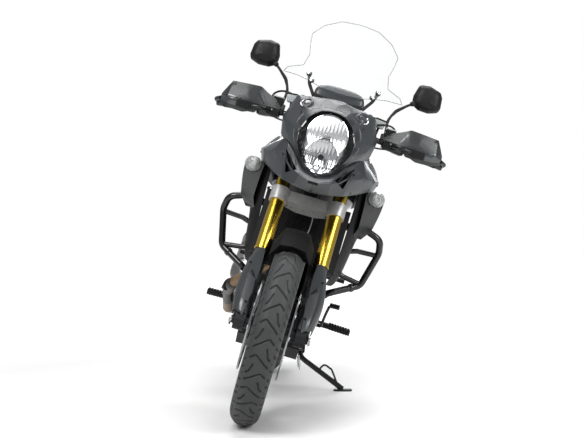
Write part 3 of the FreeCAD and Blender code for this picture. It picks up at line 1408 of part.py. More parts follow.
def rear_caliper():
    radius = rear_disc_radius - caliper_depth / 6
    low_x = -rear_disc_side - caliper_width / 2
    block = Part.makeBox(caliper_width, caliper_length * 0.8, caliper_depth,
                         Vector(low_x, -caliper_length * 0.4, radius - caliper_depth / 2))
    slot = Part.makeBox(caliper_slot, overrun, overrun,
                        Vector(-rear_disc_side - caliper_slot / 2, -overrun / 2,
                               radius - caliper_depth / 2 - overrun + caliper_depth * 0.8))
    block = block.cut(slot)
    block.rotate(Vector(0, 0, 0), Vector(1, 0, 0), rear_caliper_angle)
    block.translate(Vector(0, wheelbase, rear_axle_height))
    return [cut_by(block, "swingarm")]


# Side stand
def stand_frame():
    pivot = at(stand_pivot_shares)
    axis = Vector(stand_axis_shares[0], stand_axis_shares[1], stand_axis_shares[2]).normalize()
    foot_x, foot_y = [size(one) for one in stand_foot_shares]
    foot = Vector(foot_x, foot_y, foot_x * sine(lean_angle) / cosine(lean_angle))
    reach = foot - pivot
    swing = (reach - axis * reach.dot(axis)).normalize()
    return pivot, axis, foot, swing


def to_ground(shape):
    """Turn a piece drawn flat on the ground into the upright bike's frame."""
    turned = shape.copy()
    turned.rotate(Vector(0, 0, 0), Vector(0, 1, 0), -lean_angle)
    return turned


def stand_bracket():
    pivot, axis, foot, swing = stand_frame()
    eye, half, pin, wall = [size(one) for one in stand_eye_shares]
    stow = axis.cross(swing)
    back = (swing * 0.574 + stow * 0.819) * (-1)
    gap = half + fit_clearance * 10
    pieces = []
    for low in (gap, -gap - wall):
        pieces.append(Part.makeCylinder(eye, wall, pivot + axis * low, axis))
        across = axis.cross(back).normalize()
        base = pivot + axis * low
        corners = [base + across * eye, base + across * eye + back * eye * 2.4,
                   base - across * eye + back * eye * 2.4, base - across * eye]
        pieces.append(face_of(corners).extrude(axis * wall))
    base = pivot - axis * (gap + wall) + back * eye * 1.6
    across = axis.cross(back).normalize()
    corners = [base + across * eye, base + across * eye + back * eye * 1.4,
               base - across * eye + back * eye * 1.4, base - across * eye]
    pieces.append(face_of(corners).extrude(axis * (gap * 2 + wall * 2)))
    pieces.append(rod(pivot - axis * (gap + wall), pivot + axis * (gap + wall), pin))
    low_side, high_side = [size(one) for one in pivot_plate_side_shares]
    tip = pivot + back * eye * 2.2
    plate_middle = Vector((low_side + high_side) / 2, tip.y, size(pivot_plate_shares[6][1]))
    pieces.append(rod(tip, plate_middle, eye * 0.7))
    return pieces


def side_stand():
    """A leg on the frame's fork with a curved flat foot and a wire loop for the rider's boot."""
    pivot, axis, foot, swing = stand_frame()
    eye, half, pin, wall = [size(one) for one in stand_eye_shares]
    kink = pivot + swing * size(stand_kink_share)
    lift = Vector(-sine(lean_angle), 0, cosine(lean_angle))
    ankle = foot + lift * stand_foot_thickness
    leg = tube([pivot, kink, ankle], half, bar_bend)
    hub = Part.makeCylinder(eye, half * 2, pivot - axis * half, axis)
    reach = foot.x / cosine(lean_angle)
    corners = [Vector(reach + stand_foot_length / 2 * a, foot.y + stand_foot_width / 2 * b, 0)
               for a, b in ((-1, -1), (1, -1), (1, 1), (-1, 1))]
    plate = to_ground(Part.Face(soft_outline(corners, stand_foot_width / 2.4)).extrude(
        Vector(0, 0, stand_foot_thickness)))
    run = ankle - kink
    marks = [kink + run * part for part in stand_loop_part_shares]
    rise = lift * stand_loop_height
    loop = tube([marks[0], marks[1] + rise, marks[2] + rise, marks[3]], stand_loop_radius, bar_bend / 3)
    under = to_ground(box_between(Vector(reach - overrun, foot.y - overrun, -overrun),
                                  Vector(reach + overrun, foot.y + overrun, 0)))
    hole = rod(pivot - axis * overrun / 4, pivot + axis * overrun / 4, pin + fit_clearance)
    return [largest(join([leg, hub, plate, loop]).cut(under).cut(hole))]


def made(*names):
    """The solids of the named pieces, each piece made once."""
    solids = []
    for name in names:
        if name not in finished:
            finished[name] = makers[name]()
        solids.extend(finished[name])
    return solids


def cut_by(shape, *names):
    """A piece without the room that its neighbours take."""
    return largest(shape.cut(Part.Compound(made(*names))))


def soft_outline(corners, bend):
    """A closed outline with an arc at each corner."""
    arcs = []
    for index, corner in enumerate(corners):
        back = corners[index - 1] - corner
        ahead = corners[(index + 1) % len(corners)] - corner
        half_turn = (math.pi - back.getAngle(ahead)) / 2
        reach = min(bend * math.tan(half_turn), back.Length / 2.2, ahead.Length / 2.2)
        radius = reach / math.tan(half_turn)
        back.normalize()
        ahead.normalize()
        middle = corner + (back + ahead).normalize() * (radius / math.cos(half_turn) - radius)
        arcs.append((corner + back * reach, middle, corner + ahead * reach))
    edges = []
    for index, (start, middle, end) in enumerate(arcs):
        following = arcs[(index + 1) % len(arcs)][0]
        edges.append(Part.Arc(start, middle, end).toShape())
        edges.append(Part.LineSegment(end, following).toShape())
    return Part.Wire(edges)


def mirrored(places):
    """An outline's points with their mirror images, in order round the middle line."""
    return places + [Vector(-one.x, one.y, one.z) for one in reversed(places)]


def turned(start, direction, profile):
    """A turned body from distances along a line and radii about it."""
    along_line = Vector(direction).normalize()
    side = along_line.cross(Vector(0, 0, 1)).normalize()
    points = [start + along_line * reach + side * radius for reach, radius in profile]
    if profile[0][1] > 0:
        points.insert(0, start + along_line * profile[0][0])
    if profile[-1][1] > 0:
        points.append(start + along_line * profile[-1][0])
    return face_of(points).revolve(start, along_line, 360)


def cover(profile, place, side):
    """A stepped round engine cover with bolt bosses round its rim."""
    y, z = [size(one) for one in place]
    steps = [(size(x), size(radius)) for x, radius in profile]
    body = turned(Vector(0, y, z), Vector(side, 0, 0), steps)
    rim_x, rim_radius = steps[1]
    bosses = []
    for count in range(cover_bolts):
        angle = count * 360 / cover_bolts
        centre = Vector(0, y + rim_radius * cosine(angle), z + rim_radius * sine(angle))
        bosses.append(Part.makeCylinder(lever_radius * 1.3, rim_x + thin_wall, centre, Vector(side, 0, 0)))
    return join([body] + bosses)


def block_section(half_x, half_y, reach):
    corners = ((1, 1), (-1, 1), (-1, -1), (1, -1))
    return [Vector(half_x * a, half_y * b, reach) for a, b in corners]


def beak():
    """A pointed shell under the lamp with a slatted duct at each side and a slot in its nose."""
    sections = []
    for points, (across, back) in zip(beak_shares, beak_part_shares):
        outer = along(points)
        shift = Vector(thin_wall * across, thin_wall * back, 0)
        inner = [point + shift for point in reversed(outer)]
        sections.append(outer + inner)
    half = polygon_body(sections)
    duct = prism_y(duct_shares, -overrun, size(beak_shares[-1][0][1]) / 2)
    slat = rod(at(duct_slat_shares[0]), at(duct_slat_shares[1]), thin_wall)
    half = join([half.cut(duct), slat])
    width, low, high, front, back = [size(one) for one in nose_slot_shares]
    slot = box_between(Vector(-width, front, low), Vector(width, back, high))
    whole = join(both_sides(half)).cut(slot)
    return [cut_by(whole, "front_cowl", "headlamp")]


makers = {
    "main_frame": main_frame,
    "subframe": subframe,
    "engine_case": engine_case,
    "engine_cylinders": engine_cylinders,
    "radiator": radiator,
    "exhaust_pipes": exhaust_pipes,
    "muffler": muffler,
    "fuel_tank": fuel_tank,
    "seat": seat,
    "tail_cowl": tail_cowl,
    "luggage_rack": luggage_rack,
    "tail_lamp": tail_lamp,
    "rear_mudguard": rear_mudguard,
    "skid_plate": skid_plate,
    "headlamp": headlamp,
    "front_cowl": front_cowl,
    "beak": beak,
    "windscreen": windscreen,
    "instrument_panel": instrument_panel,
    "side_cowls": side_cowls,
    "front_indicators": front_indicators,
    "crash_bars": crash_bars,
    "footrests": footrests,
    "foot_controls": foot_controls,
    "swingarm": swingarm,
    "rear_shock": rear_shock,
    "chain": chain,
    "chain_guard": chain_guard,
    "rear_caliper": rear_caliper,
    "triple_clamps": triple_clamps,
    "fork_outer_tubes": fork_outer_tubes,
    "fork_lower_legs": fork_lower_legs,
    "fork_guards": fork_guards,
    "front_mudguard": front_mudguard,
    "front_calipers": front_calipers,
    "handlebar": handlebar,
    "handlebar_controls": handlebar_controls,
    "handguards": handguards,
    "mirrors": mirrors,
    "front_tyre": front_tyre,
    "front_wheel_rim": front_wheel_rim,
    "front_brake_discs": front_brake_discs,
    "rear_tyre": rear_tyre,
    "rear_wheel_rim": rear_wheel_rim,
    "rear_brake_disc": rear_brake_disc,
    "rear_sprocket": rear_sprocket,
    "side_stand": side_stand,
}


def lean_over(shape):
    turned = shape.copy()
    turned.rotate(Vector(0, 0, 0), Vector(0, 1, 0), lean_angle)
    return turned


def build():
    """All pieces, leaned, with the middle of the box's underside at the origin, and the shift."""
    nodes = {}
    for name in makers:
        solids = []
        for shape in made(name):
            solids.extend(lean_over(shape).Solids)
        nodes[name] = solids
    whole = Part.Compound([solid for solids in nodes.values() for solid in solids])
    box = whole.optimalBoundingBox(False, False)
    shift = Vector(-(box.XMin + box.XMax) / 2, -(box.YMin + box.YMax) / 2, -box.ZMin)
    for solids in nodes.values():
        for solid in solids:
            solid.translate(shift)
    return nodes, shift


def main():
    os.makedirs("parts", exist_ok=True)
    nodes, shift = build()
    for name, solids in nodes.items():
        shape = solids[0] if len(solids) == 1 else Part.Compound(solids)
        shape.exportStep("parts/" + name + ".step")


if __name__ == "__main__":
    main()
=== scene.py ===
import math
import bmesh
import bpy
from bpy.props import FloatProperty, FloatVectorProperty, IntProperty, PointerProperty
from mathutils import Matrix, Vector
from mathutils.bvhtree import BVHTree


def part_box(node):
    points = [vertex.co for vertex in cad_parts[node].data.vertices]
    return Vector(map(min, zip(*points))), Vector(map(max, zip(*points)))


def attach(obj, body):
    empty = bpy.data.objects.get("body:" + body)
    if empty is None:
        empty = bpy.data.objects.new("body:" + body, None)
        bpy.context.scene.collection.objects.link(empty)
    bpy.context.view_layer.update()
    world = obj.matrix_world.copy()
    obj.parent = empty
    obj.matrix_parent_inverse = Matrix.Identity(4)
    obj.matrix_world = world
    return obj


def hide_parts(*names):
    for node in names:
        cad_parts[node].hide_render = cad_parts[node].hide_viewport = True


bl_info = {
    "name": "Adventure motorcycle",
    "version": (1, 0, 0),
    "blender": (4, 5, 0),
    "location": "View3D > Sidebar > Motorcycle",
    "description": "Finishes an adventure motorcycle on its packed frame",
    "category": "Object",
}

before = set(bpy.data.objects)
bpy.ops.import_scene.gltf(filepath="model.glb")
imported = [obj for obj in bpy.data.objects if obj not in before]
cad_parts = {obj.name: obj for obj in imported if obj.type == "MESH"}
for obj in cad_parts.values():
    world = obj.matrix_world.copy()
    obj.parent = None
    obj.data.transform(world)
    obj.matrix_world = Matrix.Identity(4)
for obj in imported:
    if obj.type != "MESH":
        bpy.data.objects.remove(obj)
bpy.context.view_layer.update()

# Angles, and lengths in millimetres, of the machine
LEAN = math.radians(16.5)
RAKE = math.radians(25.5)
WHEELBASE = 1555.0
FRONT_AXLE_HEIGHT = 331.21
REAR_AXLE_HEIGHT = 324.22
LEG_SIDE, LEG_BACK = 105.5, 10.2
CHAIN_SIDE, CHAIN_PITCH = 95, 15.875
FRONT_TEETH, REAR_TEETH = 17, 41
SIDES = ((1, "left"), (-1, "right"))


def box_centre(node):
    low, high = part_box(node)
    return (low + high) / 2


def leaning(point):
    """A point of the upright machine, turned about the ground line by the lean."""
    x, y, z = point
    return Vector((x * math.cos(LEAN) + z * math.sin(LEAN), y, -x * math.sin(LEAN) + z * math.cos(LEAN)))


# The upright machine and its fork, both in millimetres, placed in the frame
SHIFT = box_centre("front_wheel_rim") - leaning((0, 0, FRONT_AXLE_HEIGHT / 1000))
BIKE = Matrix.Translation(SHIFT) @ Matrix.Rotation(LEAN, 4, "Y") @ Matrix.Scale(0.001, 4)
LEGS = BIKE @ Matrix.Translation((0, 0, FRONT_AXLE_HEIGHT)) @ Matrix.Rotation(-RAKE, 4, "X")
FRONT_WHEEL = BIKE @ Matrix.Translation((0, 0, FRONT_AXLE_HEIGHT))
REAR_WHEEL = BIKE @ Matrix.Translation((0, WHEELBASE, REAR_AXLE_HEIGHT))


class MotorcycleColours(bpy.types.PropertyGroup):
    """Colours that a maker would change."""
    fairing: FloatVectorProperty(name="Fairing grey", description="Satin plastic of the nose and guards",
                                 default=(0.022, 0.0255, 0.0278), subtype="COLOR")
    fork: FloatVectorProperty(name="Fork gold", description="Anodised outer fork tubes",
                              default=(0.60, 0.40, 0.05), subtype="COLOR")
    tank: FloatVectorProperty(name="Tank paint", description="Gloss paint of the tank and side covers",
                              default=(0.016, 0.018, 0.020), subtype="COLOR")
    seat: FloatVectorProperty(name="Seat cover", description="Grained cover of the seat",
                              default=(0.009, 0.009, 0.0095), subtype="COLOR")


class MotorcycleSizes(bpy.types.PropertyGroup):
    """Sizes of the detail that is added to the frame."""
    groove_depth: FloatProperty(name="Groove depth", description="Depth of the tread grooves",
                                default=0.0042, unit="LENGTH")
    groove_width: FloatProperty(name="Groove width", description="Width of the tread grooves",
                                default=0.0046, unit="LENGTH")
    hose_radius: FloatProperty(name="Hose radius", description="Radius of the brake hoses",
                               default=0.0034, unit="LENGTH")
    seam_radius: FloatProperty(name="Seam radius", description="Radius of the seat's piping",
                               default=0.0022, unit="LENGTH")
    radiator_fins: IntProperty(name="Radiator fins", description="Number of fins over the radiator's height",
                               default=44, min=10, max=80)


def colours():
    return bpy.context.scene.motorcycle_colours


def sizes():
    return bpy.context.scene.motorcycle_sizes


# Shader helpers
COAT_ROUGHNESS = 0.06
SLANT_OPACITY = 0.16
GRAIN_HEIGHT = 0.0004
# Colour of the painted shade deep in the tyres' tread grooves
GROOVE_SHADE_COLOUR = (0.004, 0.004, 0.004, 1)


def shader_node(tree, kind, inputs, **settings):
    """A node with its settings; an input is linked where a socket is given and set where a value is."""
    node = tree.nodes.new("ShaderNode" + kind)
    for name, value in settings.items():
        setattr(node, name, value)
    for name, value in inputs.items():
        if isinstance(value, bpy.types.NodeSocket):
            tree.links.new(value, node.inputs[name])
        else:
            node.inputs[name].default_value = value
    return node


def in_range(tree, value, low, high, start=0.0, end=1.0):
    """A value's run from start to end, made into one from low to high."""
    return shader_node(tree, "MapRange", {"Value": value, "From Min": start, "From Max": end,
                                          "To Min": low, "To Max": high}).outputs["Result"]


def mixed(tree, part, first, second):
    """One colour that turns into another."""
    return shader_node(tree, "Mix", {"Factor": part, "A": first, "B": second},
                       data_type="RGBA").outputs["Result"]


def variation_group():
    """Broad shading, fine grain and wear on a colour and a roughness, from object space noise."""
    group = bpy.data.node_groups.get("surface_variation")
    if group:
        return group
    group = bpy.data.node_groups.new("surface_variation", "ShaderNodeTree")
    face = group.interface
    colour = face.new_socket("Colour", in_out="INPUT", socket_type="NodeSocketColor")
    colour.default_value = (0.5, 0.5, 0.5, 1)
    for label, value in (("Roughness", 0.5), ("Grain size", 300.0), ("Colour change", 0.15),
                         ("Broad size", 7.0), ("Grain depth", 0.3)):
        face.new_socket(label, in_out="INPUT", socket_type="NodeSocketFloat").default_value = value
    for label, kind in (("Colour", "Color"), ("Roughness", "Float"), ("Normal", "Vector")):
        face.new_socket(label, in_out="OUTPUT", socket_type="NodeSocket" + kind)
    given = group.nodes.new("NodeGroupInput").outputs
    end = group.nodes.new("NodeGroupOutput")
    place = shader_node(group, "TexCoord", {}).outputs["Object"]
    broad, fine = [shader_node(group, "TexNoise", {"Vector": place, "Scale": given[size], "Detail": detail})
                   .outputs["Fac"] for size, detail in (("Broad size", 5.0), ("Grain size", 2.0))]
    most = shader_node(group, "Math", {0: 1.0, 1: given["Colour change"]}).outputs[0]
    spread = in_range(group, broad, 1.0, most, 0.3, 0.7)
    both = shader_node(group, "Math", {0: spread, 1: in_range(group, fine, 0.9, 1.1)}, operation="MULTIPLY")
    tint = shader_node(group, "VectorMath", {0: given["Colour"], "Scale": both.outputs[0]}, operation="SCALE")
    worn = in_range(group, broad, -0.05, 0.08, 0.3, 0.7)
    rough = shader_node(group, "Math", {0: given["Roughness"], 1: worn}, use_clamp=True)
    bump = shader_node(group, "Bump", {"Distance": GRAIN_HEIGHT, "Strength": given["Grain depth"],
                                       "Height": fine})
    for label, made in (("Colour", tint), ("Roughness", rough), ("Normal", bump)):
        group.links.new(made.outputs[0], end.inputs[label])
    return group


def varied(tree, colour, amounts):
    """What the shared variation group makes of a colour."""
    group = variation_group()
    return shader_node(tree, "Group", {"Colour": (*colour, 1), **amounts}, node_tree=group).outputs


def surface(name, colour, roughness, metallic=0.0, grain=300.0, change=0.15, broad=7.0, depth=0.12,
            coat=0.0, clear=0.0, sheen=0.0, shine=0.5, opacity=None):
    """A varied surface; the steady values stay on the shader's own sockets."""
    material = bpy.data.materials.new(name)
    material.use_nodes = True
    tree = material.node_tree
    shader = tree.nodes["Principled BSDF"].inputs
    made = varied(tree, colour, {"Roughness": roughness, "Grain size": grain, "Colour change": change,
                                 "Broad size": broad, "Grain depth": depth})
    for label, value in (("Metallic", metallic), ("Coat Weight", coat), ("Coat Roughness", COAT_ROUGHNESS),
                         ("Transmission Weight", clear), ("Sheen Weight", sheen),
                         ("Specular IOR Level", shine)):
        shader[label].default_value = value
    for label, socket in (("Colour", "Base Color"), ("Roughness", "Roughness"), ("Normal", "Normal")):
        tree.links.new(made[label], shader[socket])
    if opacity is not None:
        slant = shader_node(tree, "LayerWeight", {"Blend": 0.35}).outputs["Facing"]
        tree.links.new(in_range(tree, slant, opacity, opacity + SLANT_OPACITY), shader["Alpha"])
    return material


def paint_groove_shade(material):
    """Painted shade down in the grooves that the tyre's own attribute marks: the rubber's colour darkens with
    the groove's depth.
    """
    tree = material.node_tree
    base = tree.nodes["Principled BSDF"].inputs["Base Color"]
    mark = shader_node(tree, "Attribute", {}, attribute_name="groove").outputs["Fac"]
    tree.links.new(mixed(tree, mark, base.links[0].from_socket, GROOVE_SHADE_COLOUR), base)


def band(material, axis, middle, inner, bands):
    """Gives a surface other colours past distances from a plane of the upright machine."""
    tree = material.node_tree
    side = (BIKE.to_3x3() @ Vector(axis)).normalized()
    place = shader_node(tree, "TexCoord", {}).outputs["Object"]
    across = shader_node(tree, "VectorMath", {0: place, 1: side}, operation="DOT_PRODUCT").outputs["Value"]
    away = shader_node(tree, "Math", {0: across, 1: side.dot(BIKE @ Vector(middle))}, operation="SUBTRACT")
    reach = shader_node(tree, "Math", {0: away.outputs[0]}, operation="ABSOLUTE").outputs[0]
    patchy = {"Colour change": 0.5, "Broad size": 20}
    shade = varied(tree, inner, patchy)["Colour"]
    for start, end, colour in bands:
        past = in_range(tree, reach, 0.0, 1.0, start, end)
        shade = mixed(tree, past, shade, varied(tree, colour, patchy)["Colour"])
    tree.links.new(shade, tree.nodes["Principled BSDF"].inputs["Base Color"])


def material_of(finish):
    """The material of a finish, made when it is first asked for."""
    found = bpy.data.materials.get(finish)
    if found:
        return found
    colour, roughness, more = FINISHES[finish]
    if isinstance(colour, str):
        colour = getattr(colours(), colour)
    material = surface(finish, colour, roughness, **more)
    if finish in BANDS:
        band(material, *BANDS[finish])
    # The tread gets painted shade in its grooves.
    if finish == "tread_rubber":
        paint_groove_shade(material)
    return material


# Finishes as a colour (or the name of a maker's colour), a roughness and what differs from surface()
FINISHES = {
    "frame_paint": ((0.005, 0.005, 0.0055), 0.32, dict(coat=0.2, grain=700, shine=0.35)),
    "cast_grey": ((0.014, 0.0145, 0.0155), 0.46, dict(metallic=0.3, grain=900, depth=0.3, shine=0.35)),
    "bare_cast": ((0.36, 0.36, 0.355), 0.32, dict(metallic=0.45, grain=420, change=0.22, broad=70,
                                                  depth=0.6)),
    "brushed_steel": ((0.56, 0.56, 0.57), 0.25, dict(metallic=1.0, grain=900)),
    "exhaust_steel": ((0.17, 0.11, 0.06), 0.36, dict(metallic=0.55, grain=500, change=0.8)),
    "muffler_steel": ((0.24, 0.235, 0.23), 0.3, dict(metallic=1.0, grain=1200)),
    "dark_steel": ((0.004, 0.004, 0.0045), 0.22, dict(coat=0.35, grain=700, depth=0.06, shine=0.35)),
    "fairing_grey": ("fairing", 0.36, dict(grain=1300, change=0.08, coat=0.12)),
    "guard_black": ((0.011, 0.0125, 0.0135), 0.36, dict(grain=1300, change=0.1, coat=0.1)),
    "guard_grey": ((0.040, 0.044, 0.047), 0.32, dict(grain=1300, change=0.08, coat=0.25)),
    "lamp_ring": ((0.008, 0.009, 0.010), 0.3, dict(grain=900, change=0.05, coat=0.3)),
    "shoulder_grey": ((0.024, 0.0275, 0.030), 0.22, dict(grain=500, change=0.06, coat=0.9)),
    "wing_paint": ((0.024, 0.0275, 0.030), 0.24, dict(grain=500, change=0.06, coat=0.6)),
    "matt_black": ((0.004, 0.004, 0.0045), 0.45, dict(grain=1500, shine=0.25)),
    # The front fender is black with painted shade: its colour is darker than matt black, standing in for the
    # beak's shadow over it.
    "fender_black_painted_shade": ((0.002, 0.002, 0.0022), 0.6, dict(grain=1300, shine=0.08)),
    "gloss_paint": ("tank", 0.14, dict(grain=260, change=0.05, coat=1.0, depth=0.02)),
    "grained_cover": ("seat", 0.58, dict(grain=900, change=0.3, depth=0.8, sheen=0.2)),
    "piping": ((0.02, 0.02, 0.021), 0.5, dict(grain=1200)),
    "anodised_gold": ("fork", 0.2, dict(metallic=1.0, grain=600, change=0.12, depth=0.05)),
    "tread_rubber": ((0.017, 0.0175, 0.018), 0.6, dict(grain=1400, change=0.5, broad=24, depth=0.25)),
    "rubber_black": ((0.005, 0.005, 0.005), 0.6, dict(grain=1100, depth=0.3, shine=0.3)),
    "wheel_black": ((0.004, 0.004, 0.0045), 0.3, dict(coat=0.3, grain=800, shine=0.35)),
    "disc_steel": ((0.33, 0.33, 0.34), 0.26, dict(metallic=1.0, grain=700)),
    "oiled_steel": ((0.2, 0.19, 0.17), 0.36, dict(metallic=1.0, grain=800)),
    "chrome": ((0.86, 0.87, 0.88), 0.07, dict(metallic=1.0, grain=200, change=0.04, depth=0.02)),
    # One reflector silver in a lit and a shaded copy: the darker shaded copy is painted shade.
    "reflector_silver": ((0.86, 0.87, 0.88), 0.15, dict(metallic=0.85, grain=60, change=0.05, depth=0.05)),
    "reflector_shaded": ((0.50, 0.51, 0.52), 0.15, dict(metallic=0.85, grain=60, change=0.05, depth=0.05)),
    "mirror_glass": ((0.8, 0.82, 0.84), 0.02, dict(metallic=1.0, grain=100, change=0.02, depth=0.0)),
    "lamp_glass": ((0.05, 0.055, 0.06), 0.06, dict(grain=30, change=0.03, depth=0.0, opacity=0.03)),
    "screen_clear": ((0.50, 0.52, 0.53), 0.06, dict(grain=30, change=0.03, depth=0.0, opacity=0.035)),
    "screen_edge": ((0.10, 0.11, 0.12), 0.06, dict(grain=30, change=0.03, depth=0.0, opacity=0.55)),
    "indicator_lens": ((0.86, 0.87, 0.86), 0.08, dict(grain=120, change=0.08, clear=0.75)),
    "amber": ((0.85, 0.24, 0.02), 0.2, dict(change=0.1, coat=0.4)),
    "tail_lens": ((0.45, 0.006, 0.008), 0.1, dict(grain=40, change=0.1, clear=0.35, coat=0.6)),
    "footrest_metal": ((0.4, 0.4, 0.4), 0.36, dict(metallic=0.5, grain=500, change=0.3)),
    "reservoir_grey": ((0.33, 0.34, 0.35), 0.4, dict(grain=600)),
    "cup_plastic": ((0.30, 0.32, 0.32), 0.25, dict(grain=400, change=0.2, coat=0.3)),
    "dial_glass": ((0.03, 0.035, 0.04), 0.06, dict(coat=1.0)),
    "blank_plate": ((0.62, 0.62, 0.61), 0.35, dict(grain=200, change=0.06)),
}

# Finishes of more colours: a plane by its axis and a point, the colour at it, and colours past distances in
# metres. They are the black shield in the headers' bend, bright hangers with black pegs, grey wings that turn
# darker away from a band round their middle height, and the red tail lamp between clear turn lamps.
BANDS = {
    "exhaust_steel": ((0, 1, 0), (0, 576, 400), (0.004, 0.004, 0.004),
                      ((0.124, 0.1255, (0.17, 0.11, 0.062)),)),
    "footrest_metal": ((1, 0, 0), (0, 950, 332), (0.5, 0.5, 0.49),
                       ((0.1335, 0.1345, (0.006, 0.006, 0.006)),)),
    "wing_paint": ((0, 0, 1), (0, 400, 930), (0.024, 0.0275, 0.030),
                   ((0.079, 0.083, (0.007, 0.008, 0.0085)),)),
    "tail_lens": ((1, 0, 0), (0, 1780, 850), (0.42, 0.006, 0.008),
                  ((0.0585, 0.0595, (0.005, 0.005, 0.005)), (0.121, 0.123, (0.8, 0.3, 0.03)))),
}

NODE_FINISH = {
    "main_frame": "frame_paint", "subframe": "frame_paint", "engine_case": "cast_grey",
    "engine_cylinders": "cast_grey", "radiator": "matt_black", "exhaust_pipes": "exhaust_steel",
    "muffler": "muffler_steel", "fuel_tank": "gloss_paint", "seat": "grained_cover",
    "tail_cowl": "fairing_grey",
    "luggage_rack": "dark_steel", "tail_lamp": "tail_lens", "rear_mudguard": "matt_black",
    "skid_plate": "matt_black", "headlamp": "lamp_ring", "front_cowl": "fairing_grey", "beak": "fairing_grey",
    "windscreen": "screen_clear", "instrument_panel": "matt_black", "side_cowls": "shoulder_grey",
    "front_indicators": "indicator_lens", "crash_bars": "dark_steel", "footrests": "footrest_metal",
    "foot_controls": "dark_steel", "swingarm": "frame_paint", "rear_shock": "dark_steel",
    "chain": "oiled_steel", "chain_guard": "matt_black", "rear_caliper": "dark_steel",
    "triple_clamps": "bare_cast", "fork_outer_tubes": "anodised_gold", "fork_lower_legs": "cast_grey",
    "fork_guards": "fairing_grey", "front_mudguard": "matt_black", "front_calipers": "cast_grey",
    "handlebar": "dark_steel", "handlebar_controls": "dark_steel", "handguards": "fairing_grey",
    "mirrors": "matt_black", "front_tyre": "tread_rubber", "front_wheel_rim": "wheel_black",
    "front_brake_discs": "disc_steel", "rear_tyre": "tread_rubber", "rear_wheel_rim": "wheel_black",
    "rear_brake_disc": "disc_steel", "rear_sprocket": "oiled_steel", "side_stand": "dark_steel",
}


# Places, all in millimetres
def shifted(x, y, z):
    return Matrix.Translation((x, y, z))


def rolled(degrees, axis):
    return Matrix.Rotation(math.radians(degrees), 4, axis)


def aimed(place, direction, turn=0.0):
    """A place whose Z looks along a direction."""
    face = Vector(direction).to_track_quat("Z", "Y").to_matrix().to_4x4()
    return Matrix.Translation(place) @ face @ Matrix.Rotation(turn, 4, "Z")


def round_spots(count, reach, offset=0.0):
    """Pairs of coordinates spread round a circle."""
    turns = [math.tau * (step + offset) / count for step in range(count)]
    return [(reach * math.cos(turn), reach * math.sin(turn)) for turn in turns]


def mirrored(half, closed=False):
    """A run of points that ends at the middle, with its mirror image after it."""
    rest = half[1:-1] if closed else half[:-1]
    return list(half) + [(-x, y, z) for x, y, z in reversed(rest)]


def along(line, part):
    """A place part of the way along a line of points."""
    step = min(int(part * (len(line) - 1)), len(line) - 2)
    return Vector(line[step]).lerp(Vector(line[step + 1]), part * (len(line) - 1) - step)


def surface_tree(piece):
    """The finished surface of a piece, to lay other pieces on."""
    return BVHTree.FromObject(bpy.data.objects[piece], bpy.context.evaluated_depsgraph_get())


def nearest(piece, point):
    """A place that puts its Z out of a finished piece, at the point of it that is nearest to a point."""
    spot, facing = surface_tree(piece).find_nearest(BIKE @ Vector(point))[:2]
    upright = BIKE.inverted()
    return aimed(upright @ spot, upright.to_3x3() @ facing)


# Shapes, all in millimetres
def outline_edges(shape, points, closed=True):
    corners = [shape.verts.new(point) for point in points]
    ends = corners[1:] + corners[:1] if closed else corners[1:]
    return corners, [shape.edges.new(pair) for pair in zip(corners, ends)]


def turned(profile, steps=20):
    """A shape spun about Z from radius and height pairs."""
    shape = bmesh.new()
    corners, edges = outline_edges(shape, [(radius, 0, height) for radius, height in profile], False)
    bmesh.ops.spin(shape, geom=corners + edges, cent=(0, 0, 0), axis=(0, 0, 1), angle=math.tau,
                   steps=steps, use_merge=True)
    bmesh.ops.remove_doubles(shape, verts=shape.verts, dist=0.01)
    bmesh.ops.recalc_face_normals(shape, faces=shape.faces)
    return shape


def skinned(rows, closed=False, wall=0.0):
    """A surface through rows of points, bridged one after the other, with a wall where one is asked for."""
    shape = bmesh.new()
    last = None
    for row in rows:
        edges = outline_edges(shape, row, closed)[1]
        if last:
            bmesh.ops.bridge_loops(shape, edges=last + edges)
        last = edges
    if wall:
        bmesh.ops.solidify(shape, geom=list(shape.faces), thickness=wall)
    return shape


PATCH_ROWS, PATCH_STEPS = 5, 12


def laid_on(tree, upper, lower, lift, side):
    """A thin patch between two lines of X and Z, laid on a piece's front."""
    rows = []
    ahead = (BIKE.to_3x3() @ Vector((0, 1, 0))).normalized()
    for down in range(PATCH_ROWS + 1):
        row = []
        for step in range(PATCH_STEPS + 1):
            part = step / PATCH_STEPS
            x, z = along(upper, part).lerp(along(lower, part), down / PATCH_ROWS)
            spot = tree.ray_cast(BIKE @ Vector((x * side, 250, z)), ahead)[0]
            if not spot:
                spot = tree.find_nearest(BIKE @ Vector((x * side, 360, z)))[0]
            row.append(BIKE.inverted() @ spot - Vector((0, lift, 0)))
        rows.append(row)
    return skinned(rows, wall=lift + 0.4)


def rounded(shape, offset, segments=2):
    """Bevels every edge of a shape."""
    bmesh.ops.bevel(shape, geom=list(shape.edges), offset=offset, segments=segments, profile=0.5,
                    affect="EDGES", material=-1, clamp_overlap=True)
    return shape


def plate(points, depth, bevel=0.0):
    """A flat outline in X and Z, given a thickness along Y and rounded edges."""
    shape = bmesh.new()
    face = shape.faces.new([shape.verts.new((x, 0, z)) for x, z in points])
    made = bmesh.ops.extrude_face_region(shape, geom=[face])
    moved = [one for one in made["geom"] if isinstance(one, bmesh.types.BMVert)]
    bmesh.ops.translate(shape, verts=moved, vec=(0, depth, 0))
    return rounded(shape, bevel) if bevel else shape


def block(size, bevel, segments=2):
    shape = bmesh.new()
    bmesh.ops.create_cube(shape, size=1.0)
    bmesh.ops.scale(shape, vec=size, verts=shape.verts)
    return rounded(shape, bevel, segments)


